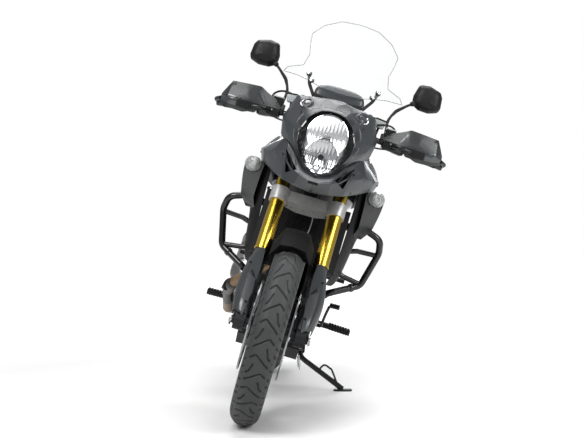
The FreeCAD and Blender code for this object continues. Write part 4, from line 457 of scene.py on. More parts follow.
def rod(radius, length, sides):
    shape = bmesh.new()
    bmesh.ops.create_cone(shape, cap_ends=True, segments=sides, radius1=radius, radius2=radius, depth=length)
    return shape


def pattern(shape):
    """Keeps a small shape as a mesh that copies are made from."""
    mesh = bpy.data.meshes.new("pattern")
    shape.to_mesh(mesh)
    shape.free()
    return mesh


def stamp(shape, mesh, place):
    """Adds a copy of a mesh to a shape at a place."""
    known = len(shape.verts)
    shape.from_mesh(mesh)
    shape.verts.ensure_lookup_table()
    bmesh.ops.transform(shape, matrix=place, verts=shape.verts[known:])


def copies(mesh, places):
    """A shape of copies of a small mesh."""
    shape = bmesh.new()
    for place in places:
        stamp(shape, mesh, place)
    return shape


def socket_bolt(radius, height):
    return pattern(turned([(0, height * 0.35), (radius * 0.5, height * 0.35), (radius * 0.52, height),
                           (radius * 0.86, height), (radius, height * 0.8), (radius, -height * 0.3)], 12))


def hex_bolt(radius, height):
    """A washer with a six sided head on it."""
    shape = turned([(0, 0.6), (radius * 1.25, 0.6), (radius * 1.35, 0.2), (radius * 1.35, -0.8)], 16)
    head = pattern(rounded(rod(radius, height, 6), radius * 0.12, 1))
    stamp(shape, head, shifted(0, 0, height / 2))
    return pattern(shape)


# Pieces of the frame
def add_mesh(name, body, mesh, finish):
    """Puts a mesh in the frame as one named piece that rides on a body."""
    mesh.materials.clear()
    mesh.materials.append(material_of(finish))
    mesh.shade_smooth()
    piece = bpy.data.objects.new(name, mesh)
    bpy.context.scene.collection.objects.link(piece)
    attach(piece, body)
    return piece


def add_piece(name, body, shape, finish, place=BIKE, bend=35, replaces=()):
    """Turns a shape at a place into a piece whose edges are sharp past a bend in degrees."""
    bmesh.ops.remove_doubles(shape, verts=shape.verts, dist=0.005)
    bmesh.ops.recalc_face_normals(shape, faces=shape.faces)
    bmesh.ops.transform(shape, matrix=place, verts=shape.verts)
    mesh = bpy.data.meshes.new(name)
    shape.to_mesh(mesh)
    shape.free()
    piece = add_mesh(name, body, mesh, finish)
    mesh.set_sharp_from_angle(angle=math.radians(bend))
    if replaces:
        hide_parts(*replaces)
    return piece


def smoothed(piece, levels=2):
    """Lets the facets of a piece flow into curves."""
    smooth = piece.modifiers.new("smooth", "SUBSURF")
    smooth.levels = smooth.render_levels = levels
    return piece


CORNER_BEND = math.radians(18)
FLAT_BEND = math.radians(1.5)


def softened(name, node, body, finish, crease=50, levels=2):
    """A copy of a frame piece whose shallow facets flow into curves and whose edges stay crisp."""
    shape = bmesh.new()
    shape.from_mesh(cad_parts[node].data)
    bmesh.ops.remove_doubles(shape, verts=shape.verts, dist=0.00002)
    bmesh.ops.dissolve_limit(shape, angle_limit=FLAT_BEND, verts=shape.verts, edges=shape.edges)
    layer = shape.edges.layers.float.new("crease_edge")
    for edge in shape.edges:
        if edge.calc_face_angle(0) > math.radians(crease):
            edge[layer] = 1.0
    corner = shape.verts.layers.float.new("crease_vert")
    for vert in shape.verts:
        sharp = [edge.other_vert(vert).co - vert.co for edge in vert.link_edges if edge[layer] > 0]
        if len(sharp) == 2 and math.pi - sharp[0].angle(sharp[1], math.pi) > CORNER_BEND:
            vert[corner] = 0.8
    bmesh.ops.scale(shape, vec=(1000, 1000, 1000), verts=shape.verts)
    piece = add_piece(name, body, shape, finish, Matrix.Scale(0.001, 4), crease, (node,))
    return smoothed(piece, levels)


def evaluated_mesh(piece):
    """The mesh that a piece has with its modifiers."""
    graph = bpy.context.evaluated_depsgraph_get()
    return bpy.data.meshes.new_from_object(piece.evaluated_get(graph), depsgraph=graph)


def smooth_tube(name, body, points, radius, finish, place=BIKE, sides=5, order=3):
    """A hose or wire on one smooth curve through a few guiding points."""
    line = bpy.data.curves.new(name, "CURVE")
    line.dimensions = "3D"
    spline = line.splines.new("NURBS")
    spline.points.add(len(points) - 1)
    for knot, point in zip(spline.points, points):
        knot.co = (*(place @ Vector(point)), 1)
    spline.order_u = order
    spline.use_endpoint_u = True
    spline.resolution_u = 8
    line.bevel_depth = radius
    line.bevel_resolution = sides
    line.use_fill_caps = True
    guide = bpy.data.objects.new(name + "_line", line)
    bpy.context.scene.collection.objects.link(guide)
    mesh = evaluated_mesh(guide)
    bpy.data.objects.remove(guide)
    return add_mesh(name, body, mesh, finish)


class MOTORCYCLE_OT_frame_finishes(bpy.types.Operator):
    """Gives every piece of the frame its own material"""
    bl_idname = "motorcycle.frame_finishes"
    bl_label = "Finish the frame's pieces"

    def execute(self, context):
        for name, finish in NODE_FINISH.items():
            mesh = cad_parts[name].data
            mesh.materials.clear()
            mesh.materials.append(material_of(finish))
        return {"FINISHED"}


# Tread grooves as runs of points: millimetres round the section from the crown, and round the tyre,
# on a tyre of this half width with this length of one pitch
TREAD_GROOVES = (
    ((-62, -35), (-17, -2), (-12, -2), (66, -60)),
    ((15, 25), (25, -2), (48, -23)),
    ((45, 8), (68, -13)),
)
GROOVE_HALF_WIDTH, GROOVE_PITCH = 51.5, 115
ROWS_IN_PITCH = 52
TREAD_FROM, TREAD_TO, TREAD_COLUMNS = 24, 156, 66
TYRE_WALL = 12

# Tyres: name, body, node, radius, half width, bead radius, half rim width, pitches of tread and place
TYRES = (
    ("front_road_tyre", "front_wheel", "front_tyre", 328.9, 51.5, 245, 36, 18, FRONT_WHEEL),
    ("rear_road_tyre", "rear_wheel", "rear_tyre", 321, 75, 218, 57, 15, REAR_WHEEL),
)


def segment_distance(u, v, start, end):
    dx, dy = end[0] - start[0], end[1] - start[1]
    part = ((u - start[0]) * dx + (v - start[1]) * dy) / (dx * dx + dy * dy)
    part = min(1, max(0, part))
    return math.hypot(u - start[0] - dx * part, v - start[1] - dy * part)


def groove_mark(u, v, pitch, wide, half_width):
    """How deep in a groove a place on the tread lies, from 0 to 1."""
    closest = math.inf
    for side, start in ((1, 0.0), (-1, pitch / 2)):
        for line in TREAD_GROOVES:
            for turn in (-pitch, 0, pitch):
                run = [(side * a * half_width / GROOVE_HALF_WIDTH, b * pitch / GROOVE_PITCH + start + turn)
                       for a, b in line]
                for pair in zip(run, run[1:]):
                    closest = min(closest, segment_distance(u, v, *pair))
    return min(1.0, max(0.0, (wide / 2 + 1.0 - closest) / 1.6))


def make_tyre(name, body, node, radius, half_width, bead_radius, bead_half, pitches, place):
    """A tyre whose one pitch of tread is spun from its section, grooved and repeated round the wheel."""
    centre = radius - half_width
    crown = centre + half_width * math.cos(LEAN)
    outer = []
    for angle in (-8, 2, 12):
        turn = math.radians(angle)
        outer.append((half_width * math.cos(turn), centre + half_width * math.sin(turn)))
    for count in range(TREAD_COLUMNS + 1):
        turn = math.radians(TREAD_FROM + (TREAD_TO - TREAD_FROM) * count / TREAD_COLUMNS)
        outer.append((half_width * math.cos(turn), min(crown, centre + half_width * math.sin(turn))))
    outer += [(-x, r) for x, r in reversed(outer[:3])]
    wall = half_width - TYRE_WALL
    bead = [(bead_half - 10, bead_radius), (bead_half, bead_radius), (bead_half, bead_radius + 13)]
    inner = [(wall * math.cos(turn), centre + wall * math.sin(turn))
             for turn in map(math.radians, (180, 140, 90, 40, 0))]
    section = bead + outer + [(-x, r) for x, r in reversed(bead)] + inner
    part = bmesh.new()
    corners, edges = outline_edges(part, [(x, 0, r) for x, r in section])
    bmesh.ops.spin(part, geom=corners + edges, cent=(0, 0, 0), axis=(1, 0, 0), angle=math.tau / pitches,
                   steps=ROWS_IN_PITCH, use_merge=False)
    pitch = math.tau * radius / pitches
    wide = sizes().groove_width * 1000
    deep = sizes().groove_depth * 1000
    layer = part.verts.layers.float.new("groove")
    tread_foot = centre + half_width * math.sin(math.radians(TREAD_FROM)) - 0.1
    for vert in part.verts:
        x, y, z = vert.co
        reach = math.hypot(y, z)
        if reach < tread_foot or abs(x) < wall and reach < centre + wall + 1:
            continue
        across = math.asin(max(-1, min(1, x / half_width))) * half_width
        mark = groove_mark(across, math.atan2(y, z) * radius % pitch, pitch, wide, half_width)
        if mark > 0:
            vert[layer] = mark
            inward = Vector((x, y * (1 - centre / reach), z * (1 - centre / reach))).normalized()
            vert.co -= inward * deep * mark
    one_pitch = pattern(part)
    shape = copies(one_pitch, [Matrix.Rotation(math.tau * count / pitches, 4, "X")
                               for count in range(pitches)])
    bmesh.ops.remove_doubles(shape, verts=shape.verts, dist=0.02)
    add_piece(name, body, shape, "tread_rubber", place, 40, (node,))


class MOTORCYCLE_OT_tyres(bpy.types.Operator):
    """Builds both road tyres with a grooved tread"""
    bl_idname = "motorcycle.tyres"
    bl_label = "Tyres"

    def execute(self, context):
        for tyre in TYRES:
            make_tyre(*tyre)
        return {"FINISHED"}


# The lamp's glass as height, half width and how far forward its edge and its middle stand
LAMP_ROWS = (
    (874, 12, -14, -17), (888, 44, -2, -12), (936, 81, 32, 9), (968, 97, 47, 22), (1010, 102, 62, 40),
    (1062, 82, 72, 60), (1092, 44, 78, 73), (1097, 14, 80, 79),
)
LAMP_ACROSS = ((1.0, 0.0), (0.85, 0.3), (0.6, 0.7), (0.3, 0.92), (0.0, 1.0))
# The lower lens's reflector takes the shaded copy of the silver, as painted shade.
LENSES = (("upper", 1015, 69, 72, 20, "reflector_silver"), ("lower", 941, 55, 36, 17, "reflector_shaded"))
LAMP_CENTRE = 985
BOWL_STEPS = 26
FLUTE_WIDTH, FLUTE_DEPTH = 12.5, 2.3


def lamp_rows(part, behind):
    """The rows of the glass, drawn in to a part of their size and set back."""
    rows = []
    for height, half, edge, middle in LAMP_ROWS:
        up = LAMP_CENTRE + (height - LAMP_CENTRE) * part
        rows.append(mirrored([(half * across * part, edge + (middle - edge) * forward + behind, up)
                              for across, forward in LAMP_ACROSS]))
    return rows


class MOTORCYCLE_OT_headlamp(bpy.types.Operator):
    """Builds the headlamp's glass, fluted reflectors, bright rims and black surround"""
    bl_idname = "motorcycle.headlamp"
    bl_label = "Headlamp"

    def execute(self, context):
        glass = skinned(lamp_rows(0.985, 0.6))
        smoothed(add_piece("lamp_glass", "chassis", glass, "lamp_glass", bend=80, replaces=("headlamp",)))
        surround = skinned(lamp_rows(0.97, 52))
        wall = bmesh.ops.extrude_edge_only(surround, edges=[one for one in surround.edges if one.is_boundary])
        for one in wall["geom"]:
            if isinstance(one, bmesh.types.BMVert):
                one.co.y = 146
        bmesh.ops.holes_fill(surround, edges=[one for one in surround.edges if one.is_boundary])
        for lens in LENSES:
            self.reflector(*lens)
        add_piece("lamp_surround", "chassis", surround, "lamp_ring", bend=50)
        self.bulb_cap()
        self.position_lamp()
        return {"FINISHED"}

    def reflector(self, name, height, radius, front, depth, finish):
        """One fluted bowl with its rim, tub and bulb."""
        bowl = turned([(9 + (radius - 9) * part / BOWL_STEPS, depth * (part / BOWL_STEPS) ** 2)
                       for part in range(BOWL_STEPS + 1)], 150)
        for vert in bowl.verts:
            reach = math.hypot(vert.co.x, vert.co.y) / radius
            if 0.16 < reach < 0.98:
                fade = min(1, (reach - 0.16) * 6, (0.98 - reach) * 20)
                flute = FLUTE_DEPTH * abs(math.sin(vert.co.x * math.pi / FLUTE_WIDTH))
                vert.co.z += fade * (flute - 0.9)
        face = BIKE @ shifted(0, front, height) @ rolled(90, "X")
        deep = face @ shifted(0, 0, -depth)
        rim = turned([(radius - 1, -8), (radius - 1, 2), (radius + 0.6, 3.6), (radius + 3, 2.6),
                      (radius + 3.6, -8)], 96)
        tub = turned([(radius + 3.2, -6), (radius + 3.2, -depth - 8), (0, -depth - 8)], 64)
        bulb = turned([(0, 16), (4, 15), (6, 12), (6.5, 5), (9.5, 4), (10, -3), (0, -3)], 24)
        for part, shape, colour, place, bend in (
                ("reflector", bowl, finish, deep, 60), ("rim", rim, "chrome", face, 40),
                ("tub", tub, "lamp_ring", face, 40), ("bulb", bulb, "indicator_lens", deep, 40)):
            add_piece(f"lamp_{part}_{name}", "chassis", shape, colour, place, bend)

    def bulb_cap(self):
        """The dark cap over the lower bulb and its stem."""
        face = BIKE @ shifted(0, 14, 936) @ rolled(90, "X")
        cap = turned([(0, 12), (6, 12), (7.5, 10.5), (7.5, 2), (10.5, 2), (10.5, 10), (9, 13), (7, 13)], 32)
        add_piece("lamp_bulb_cap", "chassis", cap, "lamp_ring", face @ shifted(0, 0, -24), 40)
        stem = turned([(2.2, 0), (2.2, -26), (5, -30)], 12)
        add_piece("lamp_bulb_stem", "chassis", stem, "chrome", face @ shifted(0, 0, -22), 40)

    def position_lamp(self):
        """The bright position lamp under the lower lens."""
        rows = []
        for height, half, depth in ((877, 12, -8), (884, 26, -4), (892, 38, 2), (900, 45, 12)):
            spread = [step / 12 - 1 for step in range(25)]
            rows.append([(half * across, depth - 2 * math.cos(across * 12), height) for across in spread])
        add_piece("lamp_position_reflector", "chassis", skinned(rows), "chrome", bend=30)


# The cowl's face in its rows from the lamp's opening out to the rim
COWL_ROWS = (
    ((0, 78, 1100), (0, 138, 1156)), ((42, 76, 1094), (76, 148, 1141)), ((80, 70, 1062), (142, 176, 1138)),
    ((100, 60, 1010), (169, 158, 1052)), ((95, 45, 968), (152, 140, 996)), ((79, 30, 936), (120, 100, 960)),
    ((42, -5, 888), (54, 16, 886)), ((0, -21, 870), (0, -19, 862)),
)

# Loops on the cowl's face: how far from the opening to the rim, and how far they stand out
NOSE_RINGS = (
    ("lamp_ring_band", "lamp_ring", ((0.0, -3), (0.0, 1.6), (0.12, 2.4), (0.24, 1.6), (0.27, -1.0))),
    ("lamp_ring_lip", "shoulder_grey", ((0.27, -1.5), (0.285, 2.6), (0.31, 3.0), (0.335, 1.6), (0.36, -2))),
)


def cowl_ring(part, out):
    """A loop on the cowl's face, a part of the way from the opening to the rim."""
    return mirrored([Vector(inner).lerp(Vector(rim), part) + Vector((0, -out, 0))
                     for inner, rim in COWL_ROWS], True)


class MOTORCYCLE_OT_nose_trim(bpy.types.Operator):
    """Builds the ring and lip round the lamp and the round corner plugs of the nose"""
    bl_idname = "motorcycle.nose_trim"
    bl_label = "Nose trim"

    def execute(self, context):
        for name, finish, loops in NOSE_RINGS:
            ring = skinned([cowl_ring(part, out) for part, out in loops], True)
            smoothed(add_piece(name, "chassis", ring, finish, bend=60))
        for side, label in reversed(SIDES):
            self.corner_plug(side, label)
        return {"FINISHED"}

    def corner_plug(self, side, label):
        """The plug at an upper corner of the nose, and round it a painted highlight: a bright half ring of
        steel where light falls on the plug's rim.
        """
        axis = Vector((-0.408 * side, 0.678, -0.612))
        place = Vector((101 * side, 124, 1111)) + axis * 11
        plug = turned([(0, 12), (11, 12), (14.5, 10), (15.5, 7), (15.5, 0)], 32)
        add_piece("corner_plug_" + label, "chassis", plug, "shoulder_grey", BIKE @ aimed(place, -axis), 40)
        painted_highlight = turned([(19.5, -1), (21, 1.2), (22.5, 1.7), (24, 1), (25, -1)], 40)
        far = [one for one in painted_highlight.verts if one.co.x > -9]
        bmesh.ops.delete(painted_highlight, geom=far, context="VERTS")
        # Painted highlight: the bright half ring is turned to the side of the plug that the light falls on.
        turn = math.radians(150 if side > 0 else 20)
        add_piece("corner_crescent_" + label, "chassis", painted_highlight, "brushed_steel",
                  BIKE @ aimed(place - axis * 12.5, -axis, turn), 40)


SCREEN_OUTLINE = ((0, 1185), (75, 1190), (120, 1205), (169, 1218), (226, 1226), (214, 1246), (160, 1262),
                  (150, 1310), (160, 1352), (166, 1398), (130, 1441), (70, 1472.6), (0, 1477.6))

SCREEN_BEND = 340


def on_screen(x, z):
    """The place on the curved screen seen at an X and a Z."""
    low, high = Vector((0, 200, 1160)), Vector((0, 420, 1500))
    up = (high - low).normalized()
    across = Vector((0, -up.z, up.y))
    drop = SCREEN_BEND - math.sqrt(SCREEN_BEND ** 2 - x ** 2)
    base = (z - low.z + drop * across.z) / up.z
    return Vector((x, low.y, low.z)) + up * base - across * drop


class MOTORCYCLE_OT_screen_trim(bpy.types.Operator):
    """Builds the screen's dark edge and its bolts with rubber washers"""
    bl_idname = "motorcycle.screen_trim"
    bl_label = "Screen trim"

    def execute(self, context):
        loop = mirrored([on_screen(x, z) for x, z in SCREEN_OUTLINE])
        smooth_tube("screen_edge", "chassis", [(x, y + 2, z) for x, y, z in loop], 0.0013, "screen_edge",
                    sides=2, order=2)
        head = pattern(turned([(0, 7.5), (2.4, 7.5), (2.6, 9.5), (4.6, 9.3), (6.6, 8), (7.6, 5), (7.6, 2),
                               (6, 0)], 20))
        washer = pattern(turned([(5, 2.2), (9.5, 2.2), (10.2, 1.2), (10.2, -1), (5, -1)], 20))
        spots = [aimed(on_screen(side * x, z) + Vector((0, -1.5, 0)), (0.25 * side, -0.85, 0.5))
                 for side in (-1, 1) for x, z in ((129, 1232), (113, 1206))]
        add_piece("screen_bolts", "chassis", copies(head, spots), "chrome")
        add_piece("screen_washers", "chassis", copies(washer, spots), "rubber_black")
        return {"FINISHED"}


MIRROR_OUTLINE = ((-43, 48), (-4, 53), (43, 39), (54, 20), (58, -22), (51, -40), (16, -52), (-25, -50),
                  (-53, -34), (-56, 0))

# Loops of the mirror's rim: how much of the outline, and how far back
MIRROR_RIM = ((0.905, 485.2), (0.905, 488.4), (0.95, 488.8), (0.975, 486.5), (0.975, 484))


class MOTORCYCLE_OT_mirrors(bpy.types.Operator):
    """Builds the mirrors' glass and the rubber boots and nuts of their stems"""
    bl_idname = "motorcycle.mirror_glass"
    bl_label = "Mirror glass"

    def execute(self, context):
        for side, label in SIDES:
            glass = plate([(side * (318 + x * 0.9), 1292 + z * 0.9) for x, z in MIRROR_OUTLINE], 1.6, 0.5)
            bmesh.ops.translate(glass, verts=glass.verts, vec=(0, 485.4, 0))
            add_piece("mirror_glass_" + label, "steering", glass, "mirror_glass")
            rim = skinned([[(side * (318 + x * grow), depth, 1292 + z * grow) for x, z in MIRROR_OUTLINE]
                           for grow, depth in MIRROR_RIM], True)
            smoothed(add_piece("mirror_rim_" + label, "steering", rim, "matt_black", bend=60))
            spot = aimed((side * 201.5, 405, 1084), (side * -0.02, 0.2, 0.98))
            add_piece("mirror_nut_" + label, "steering", copies(hex_bolt(8.5, 10), [spot]), "dark_steel")
            boot = turned([(5.4, 30), (7.5, 28), (9, 14), (9.5, 4), (8, 0)], 20)
            add_piece("mirror_boot_" + label, "steering", boot, "rubber_black",
                      BIKE @ aimed((side * 262, 462, 1255), (side * 0.86, 0.29, 0.42)))
        return {"FINISHED"}


# Panels on the hand shields as an upper and a lower line of X and Z, a lift and a finish
SHIELD_PANELS = (
    ("outer", ((421, 1082), (395, 1079), (360, 1078)), ((419, 1065), (395, 1056), (362, 1054)), 1.6,
     "shoulder_grey"),
    ("crease", ((423, 1088.5), (385, 1087), (346, 1087)), ((423, 1085.5), (385, 1083.5), (346, 1084)), 1.4,
     "shoulder_grey"),
    ("lower", ((357, 1080), (318, 1082), (262, 1082)), ((358, 1054), (318, 1052), (262, 1077)), 0.8,
     "matt_black"),
    ("leaf", ((303, 1146), (278, 1130), (258, 1094)), ((302, 1144), (288, 1122), (260, 1090)), 1.2,
     "shoulder_grey"),
)
# The handlebar's straight outer part, and where its fittings sit by their X
BAR_INNER, BAR_OUTER = Vector((168, 392, 1082)), Vector((422, 446, 1062))
GRIP_START, SWITCH_BOX = 296, 262
GRIP_RIBS, RIB_STEP = 22, 5


class MOTORCYCLE_OT_bar_fittings(bpy.types.Operator):
    """Builds the ribbed grips, switch boxes, fluid reservoirs and the hand shields' panels"""
    bl_idname = "motorcycle.bar_fittings"
    bl_label = "Handlebar fittings"

    def execute(self, context):
        for side, label in SIDES:
            self.grip_and_switches(side, label)
            self.reservoir(side, label)
            tree = surface_tree("hand_shields")
            for part, upper, lower, lift, finish in SHIELD_PANELS:
                panel = laid_on(tree, upper, lower, lift, side)
                add_piece(f"shield_{part}_{label}", "steering", panel, finish, bend=40)
        return {"FINISHED"}

    def grip_and_switches(self, side, label):
        """The ribbed grip, and the switch box with its keys inside it."""
        flip = Vector((side, 1, 1))
        run = (BAR_OUTER - BAR_INNER).normalized()
        start, spot = [BAR_INNER + run * ((x - BAR_INNER.x) / run.x) for x in (GRIP_START, SWITCH_BOX)]
        profile = [(12, 0), (17.2, 0), (18.4, 2), (18.4, 5)]
        for rib in range(GRIP_RIBS):
            base = 8 + rib * RIB_STEP
            profile += [(16.9, base), (16.9, base + 1.4), (17.9, base + 2.2), (17.9, base + 3.8)]
        grip = turned(profile + [(16.9, 120), (12, 120)], 36)
        add_piece("grip_" + label, "steering", grip, "rubber_black",
                  BIKE @ aimed(start * flip, run * flip), 30)
        add_piece("switch_box_" + label, "steering", block((44, 34, 40), 6, 3), "matt_black",
                  BIKE @ aimed(spot * flip + Vector((0, 8, -4)), run * flip), 30)
        keys = copies(pattern(block((12, 5, 9), 1.6)),
                      [aimed(spot * flip + Vector((across, 26, up - 4)), run * flip)
                       for across, up in ((-8, 8), (8, 8), (0, -8))])
        add_piece("switch_keys_" + label, "steering", keys, "reservoir_grey")

    def reservoir(self, side, label):
        """The master cylinder's lid with its screws, and the pale fluid cup on its post."""
        add_piece("reservoir_lid_" + label, "steering", block((42, 40, 5), 1.8), "reservoir_grey",
                  BIKE @ shifted(216 * side, 397, 1133), 30)
        spots = [aimed((216 * side + a, 397 + b, 1135.5), (0, 0, 1)) for a, b in ((-14, -13), (14, 13))]
        spots.append(aimed((228 * side, 366, 1079), (0, -1, 0)))
        add_piece("reservoir_screws_" + label, "steering", copies(socket_bolt(2.6, 2), spots),
                  "brushed_steel")
        cup = block((42, 32, 30), 6, 3)
        for vert in cup.verts:
            if vert.co.z < 0:
                vert.co.x *= 0.86
                vert.co.y *= 0.86
        place = BIKE @ shifted(170 * side, 402, 1142) @ rolled(6 * side, "Y")
        add_piece("reservoir_cup_" + label, "steering", cup, "cup_plastic", place, 40)
        add_piece("reservoir_cap_" + label, "steering", block((44, 34, 5), 1.8), "matt_black",
                  place @ shifted(0, 0, 16.5), 40)
        post = turned([(0, -40), (4.5, -40), (4.5, -18), (9, -14), (9, -12), (0, -12)], 16)
        add_piece("reservoir_post_" + label, "steering", post, "dark_steel", place, 40)


# Hoses and cables of the steering as guiding points of one curve each, and a part of the hose radius
HOSES = (
    ("brake_hose_right", ((-216, 378, 1108), (-240, 398, 1120), (-244, 414, 1138), (-230, 420, 1156),
                          (-204, 426, 1166), (-166, 436, 1162), (-130, 422, 1138), (-104, 398, 1106),
                          (-80, 360, 1054)), 1.15),
    ("brake_hose_middle", ((-80, 360, 1054), (-36, 334, 1000), (-8, 318, 958)), 1.15),
    ("clutch_line_left", ((216, 378, 1108), (240, 384, 1124), (216, 388, 1148), (164, 386, 1138),
                          (116, 376, 1108), (82, 352, 1056), (14, 324, 985)), 1.0),
    ("throttle_cable_right", ((-250, 392, 1070), (-214, 362, 1052), (-150, 364, 1050), (-88, 354, 1030),
                              (-40, 332, 996)), 0.9),
    ("switch_cable_left", ((252, 392, 1068), (206, 362, 1050), (142, 364, 1048), (88, 354, 1028),
                           (40, 332, 996)), 0.9),
)
CALIPER_HOSE = ((60, 30, 500), (92, 52, 470), (118, 62, 400), (120, 64, 330), (112, 62, 250), (104, 74, 190))
# Hoses and wires of the chassis, with their radius in metres
PIPES = (
    ("radiator_hose", ((140, 400, 742), (150, 440, 736), (132, 500, 700), (96, 560, 640), (70, 610, 560)),
     0.015, "rubber_black"),
    ("radiator_return_hose", ((-140, 395, 600), (-150, 430, 585), (-138, 470, 520), (-120, 520, 460)),
     0.015, "rubber_black"),
    ("horn_wire", ((-22, 334, 622), (2, 326, 636), (24, 326, 664), (33, 332, 700), (30, 344, 740)),
     0.002, "reservoir_grey"),
)


class MOTORCYCLE_OT_hoses(bpy.types.Operator):
    """Builds the brake hoses, cables and wires that are held at both ends"""
    bl_idname = "motorcycle.hoses"
    bl_label = "Hoses and cables"

    def execute(self, context):
        radius = sizes().hose_radius
        for name, points, part in HOSES:
            smooth_tube(name, "steering", points, radius * part, "rubber_black")
        for side, label in SIDES:
            smooth_tube("caliper_hose_" + label, "steering", [(x * side, y, z) for x, y, z in CALIPER_HOSE],
                        radius, "rubber_black", LEGS)
        for name, points, width, finish in PIPES:
            smooth_tube(name, "chassis", points, width, finish)
        return {"FINISHED"}


# Panels that take the place of faceted frame pieces: name, node, body, finish and how often they are smoothed
SOFT_BODIES = (
    ("nose_cowl", "front_cowl", "chassis", "fairing_grey", 2),
    ("nose_beak", "beak", "chassis", "fairing_grey", 2),
    ("shoulder_cowls", "side_cowls", "chassis", "wing_paint", 2),
    ("hand_shields", "handguards", "steering", "guard_black", 2),
    ("fork_shields", "fork_guards", "steering", "fairing_grey", 2),
    ("front_fender", "front_mudguard", "steering", "fender_black_painted_shade", 2),
    ("dash_housing", "instrument_panel", "chassis", "matt_black", 2),
    ("tail_panels", "tail_cowl", "chassis", "fairing_grey", 1),
    ("mirror_shells", "mirrors", "steering", "matt_black", 2),
)
# The inner side panel: heights, with X and Y at its inner edge, crease and outer edge
LINER_ROWS = (
    (905, (168, 360), (196, 372), (212, 440)), (860, (165, 362), (198, 366), (238, 470)),
    (800, (164, 372), (202, 372), (234, 474)), (750, (163, 385), (204, 390), (222, 462)),
    (700, (162, 392), (192, 415), (206, 468)), (620, (160, 398), (184, 430), (200, 486)),
    (540, (152, 404), (172, 440), (186, 492)), (512, (140, 424), (158, 452), (170, 494)),
)
DUCT_ROWS = (((132, 118, 946), (132, 96, 846)), ((96, 78, 920), (98, 66, 840)),
             ((58, 34, 880), (60, 26, 842)))


class MOTORCYCLE_OT_soft_bodies(bpy.types.Operator):
    """Rounds the panels' shallow facets into curved plastic and closes what is open behind them"""
    bl_idname = "motorcycle.soft_bodies"
    bl_label = "Curved panels"

    def execute(self, context):
        for name, node, body, finish, levels in SOFT_BODIES:
            softened(name, node, body, finish, levels=levels)
        for side, label in SIDES:
            self.liner(side, label)
            self.duct_back(side, label)
        return {"FINISHED"}

    def liner(self, side, label):
        """The black inner panel between the radiator and the side cowl."""
        rows = [[(side * x, y, z) for x, y in points] for z, *points in LINER_ROWS]
        smoothed(add_piece("side_liner_" + label, "chassis", skinned(rows, wall=3), "matt_black", bend=60))

    def duct_back(self, side, label):
        """The dark wall behind the beak's duct, with its slats."""
        rows = [[(side * x, y, z) for x, y, z in row] for row in DUCT_ROWS]
        add_piece("duct_wall_" + label, "chassis", skinned(rows, wall=2), "rubber_black", bend=40)
        spots = [shifted(side * (70 + step * 15), 26 + step * 16, 884) @ rolled(28 * side, "Y")
                 for step in range(4)]
        slats = copies(pattern(block((3, 20, 86), 1)), spots)
        add_piece("duct_slats_" + label, "chassis", slats, "lamp_ring")


# Small turned parts of the fork: finish, heights on each leg, profile and steps
FORK_PARTS = (
    ("fork_seals", "rubber_black", (275,), ((21.8, -12), (25.5, -11), (26.6, -8), (26.6, -1), (21.8, 0)), 32),
    ("fork_caps", "anodised_gold", (728,),
     ((0, 9), (7, 9), (8, 8), (8, 5), (19, 5), (21, 4), (22, 2), (22, -2)), 32),
    ("fork_tube_rings", "anodised_gold", (279, 476), ((27.05, 0), (28.4, 0.6), (28.4, 3.4), (27.05, 4)), 40),
)
# The raised panel on each fork guard: height, X at its inner edge, middle and outer edge, and lift
GUARD_ROWS = (
    (172, 112, 114, 118, 0.4), (150, 92, 112, 124, 3.4), (110, 90, 110, 124, 4.2), (60, 95, 110, 122, 4.2),
    (16, 98, 110, 120, 3.2), (8, 100, 110, 118, 0.2),
)
GUARD_FRONT = LEG_BACK - 38


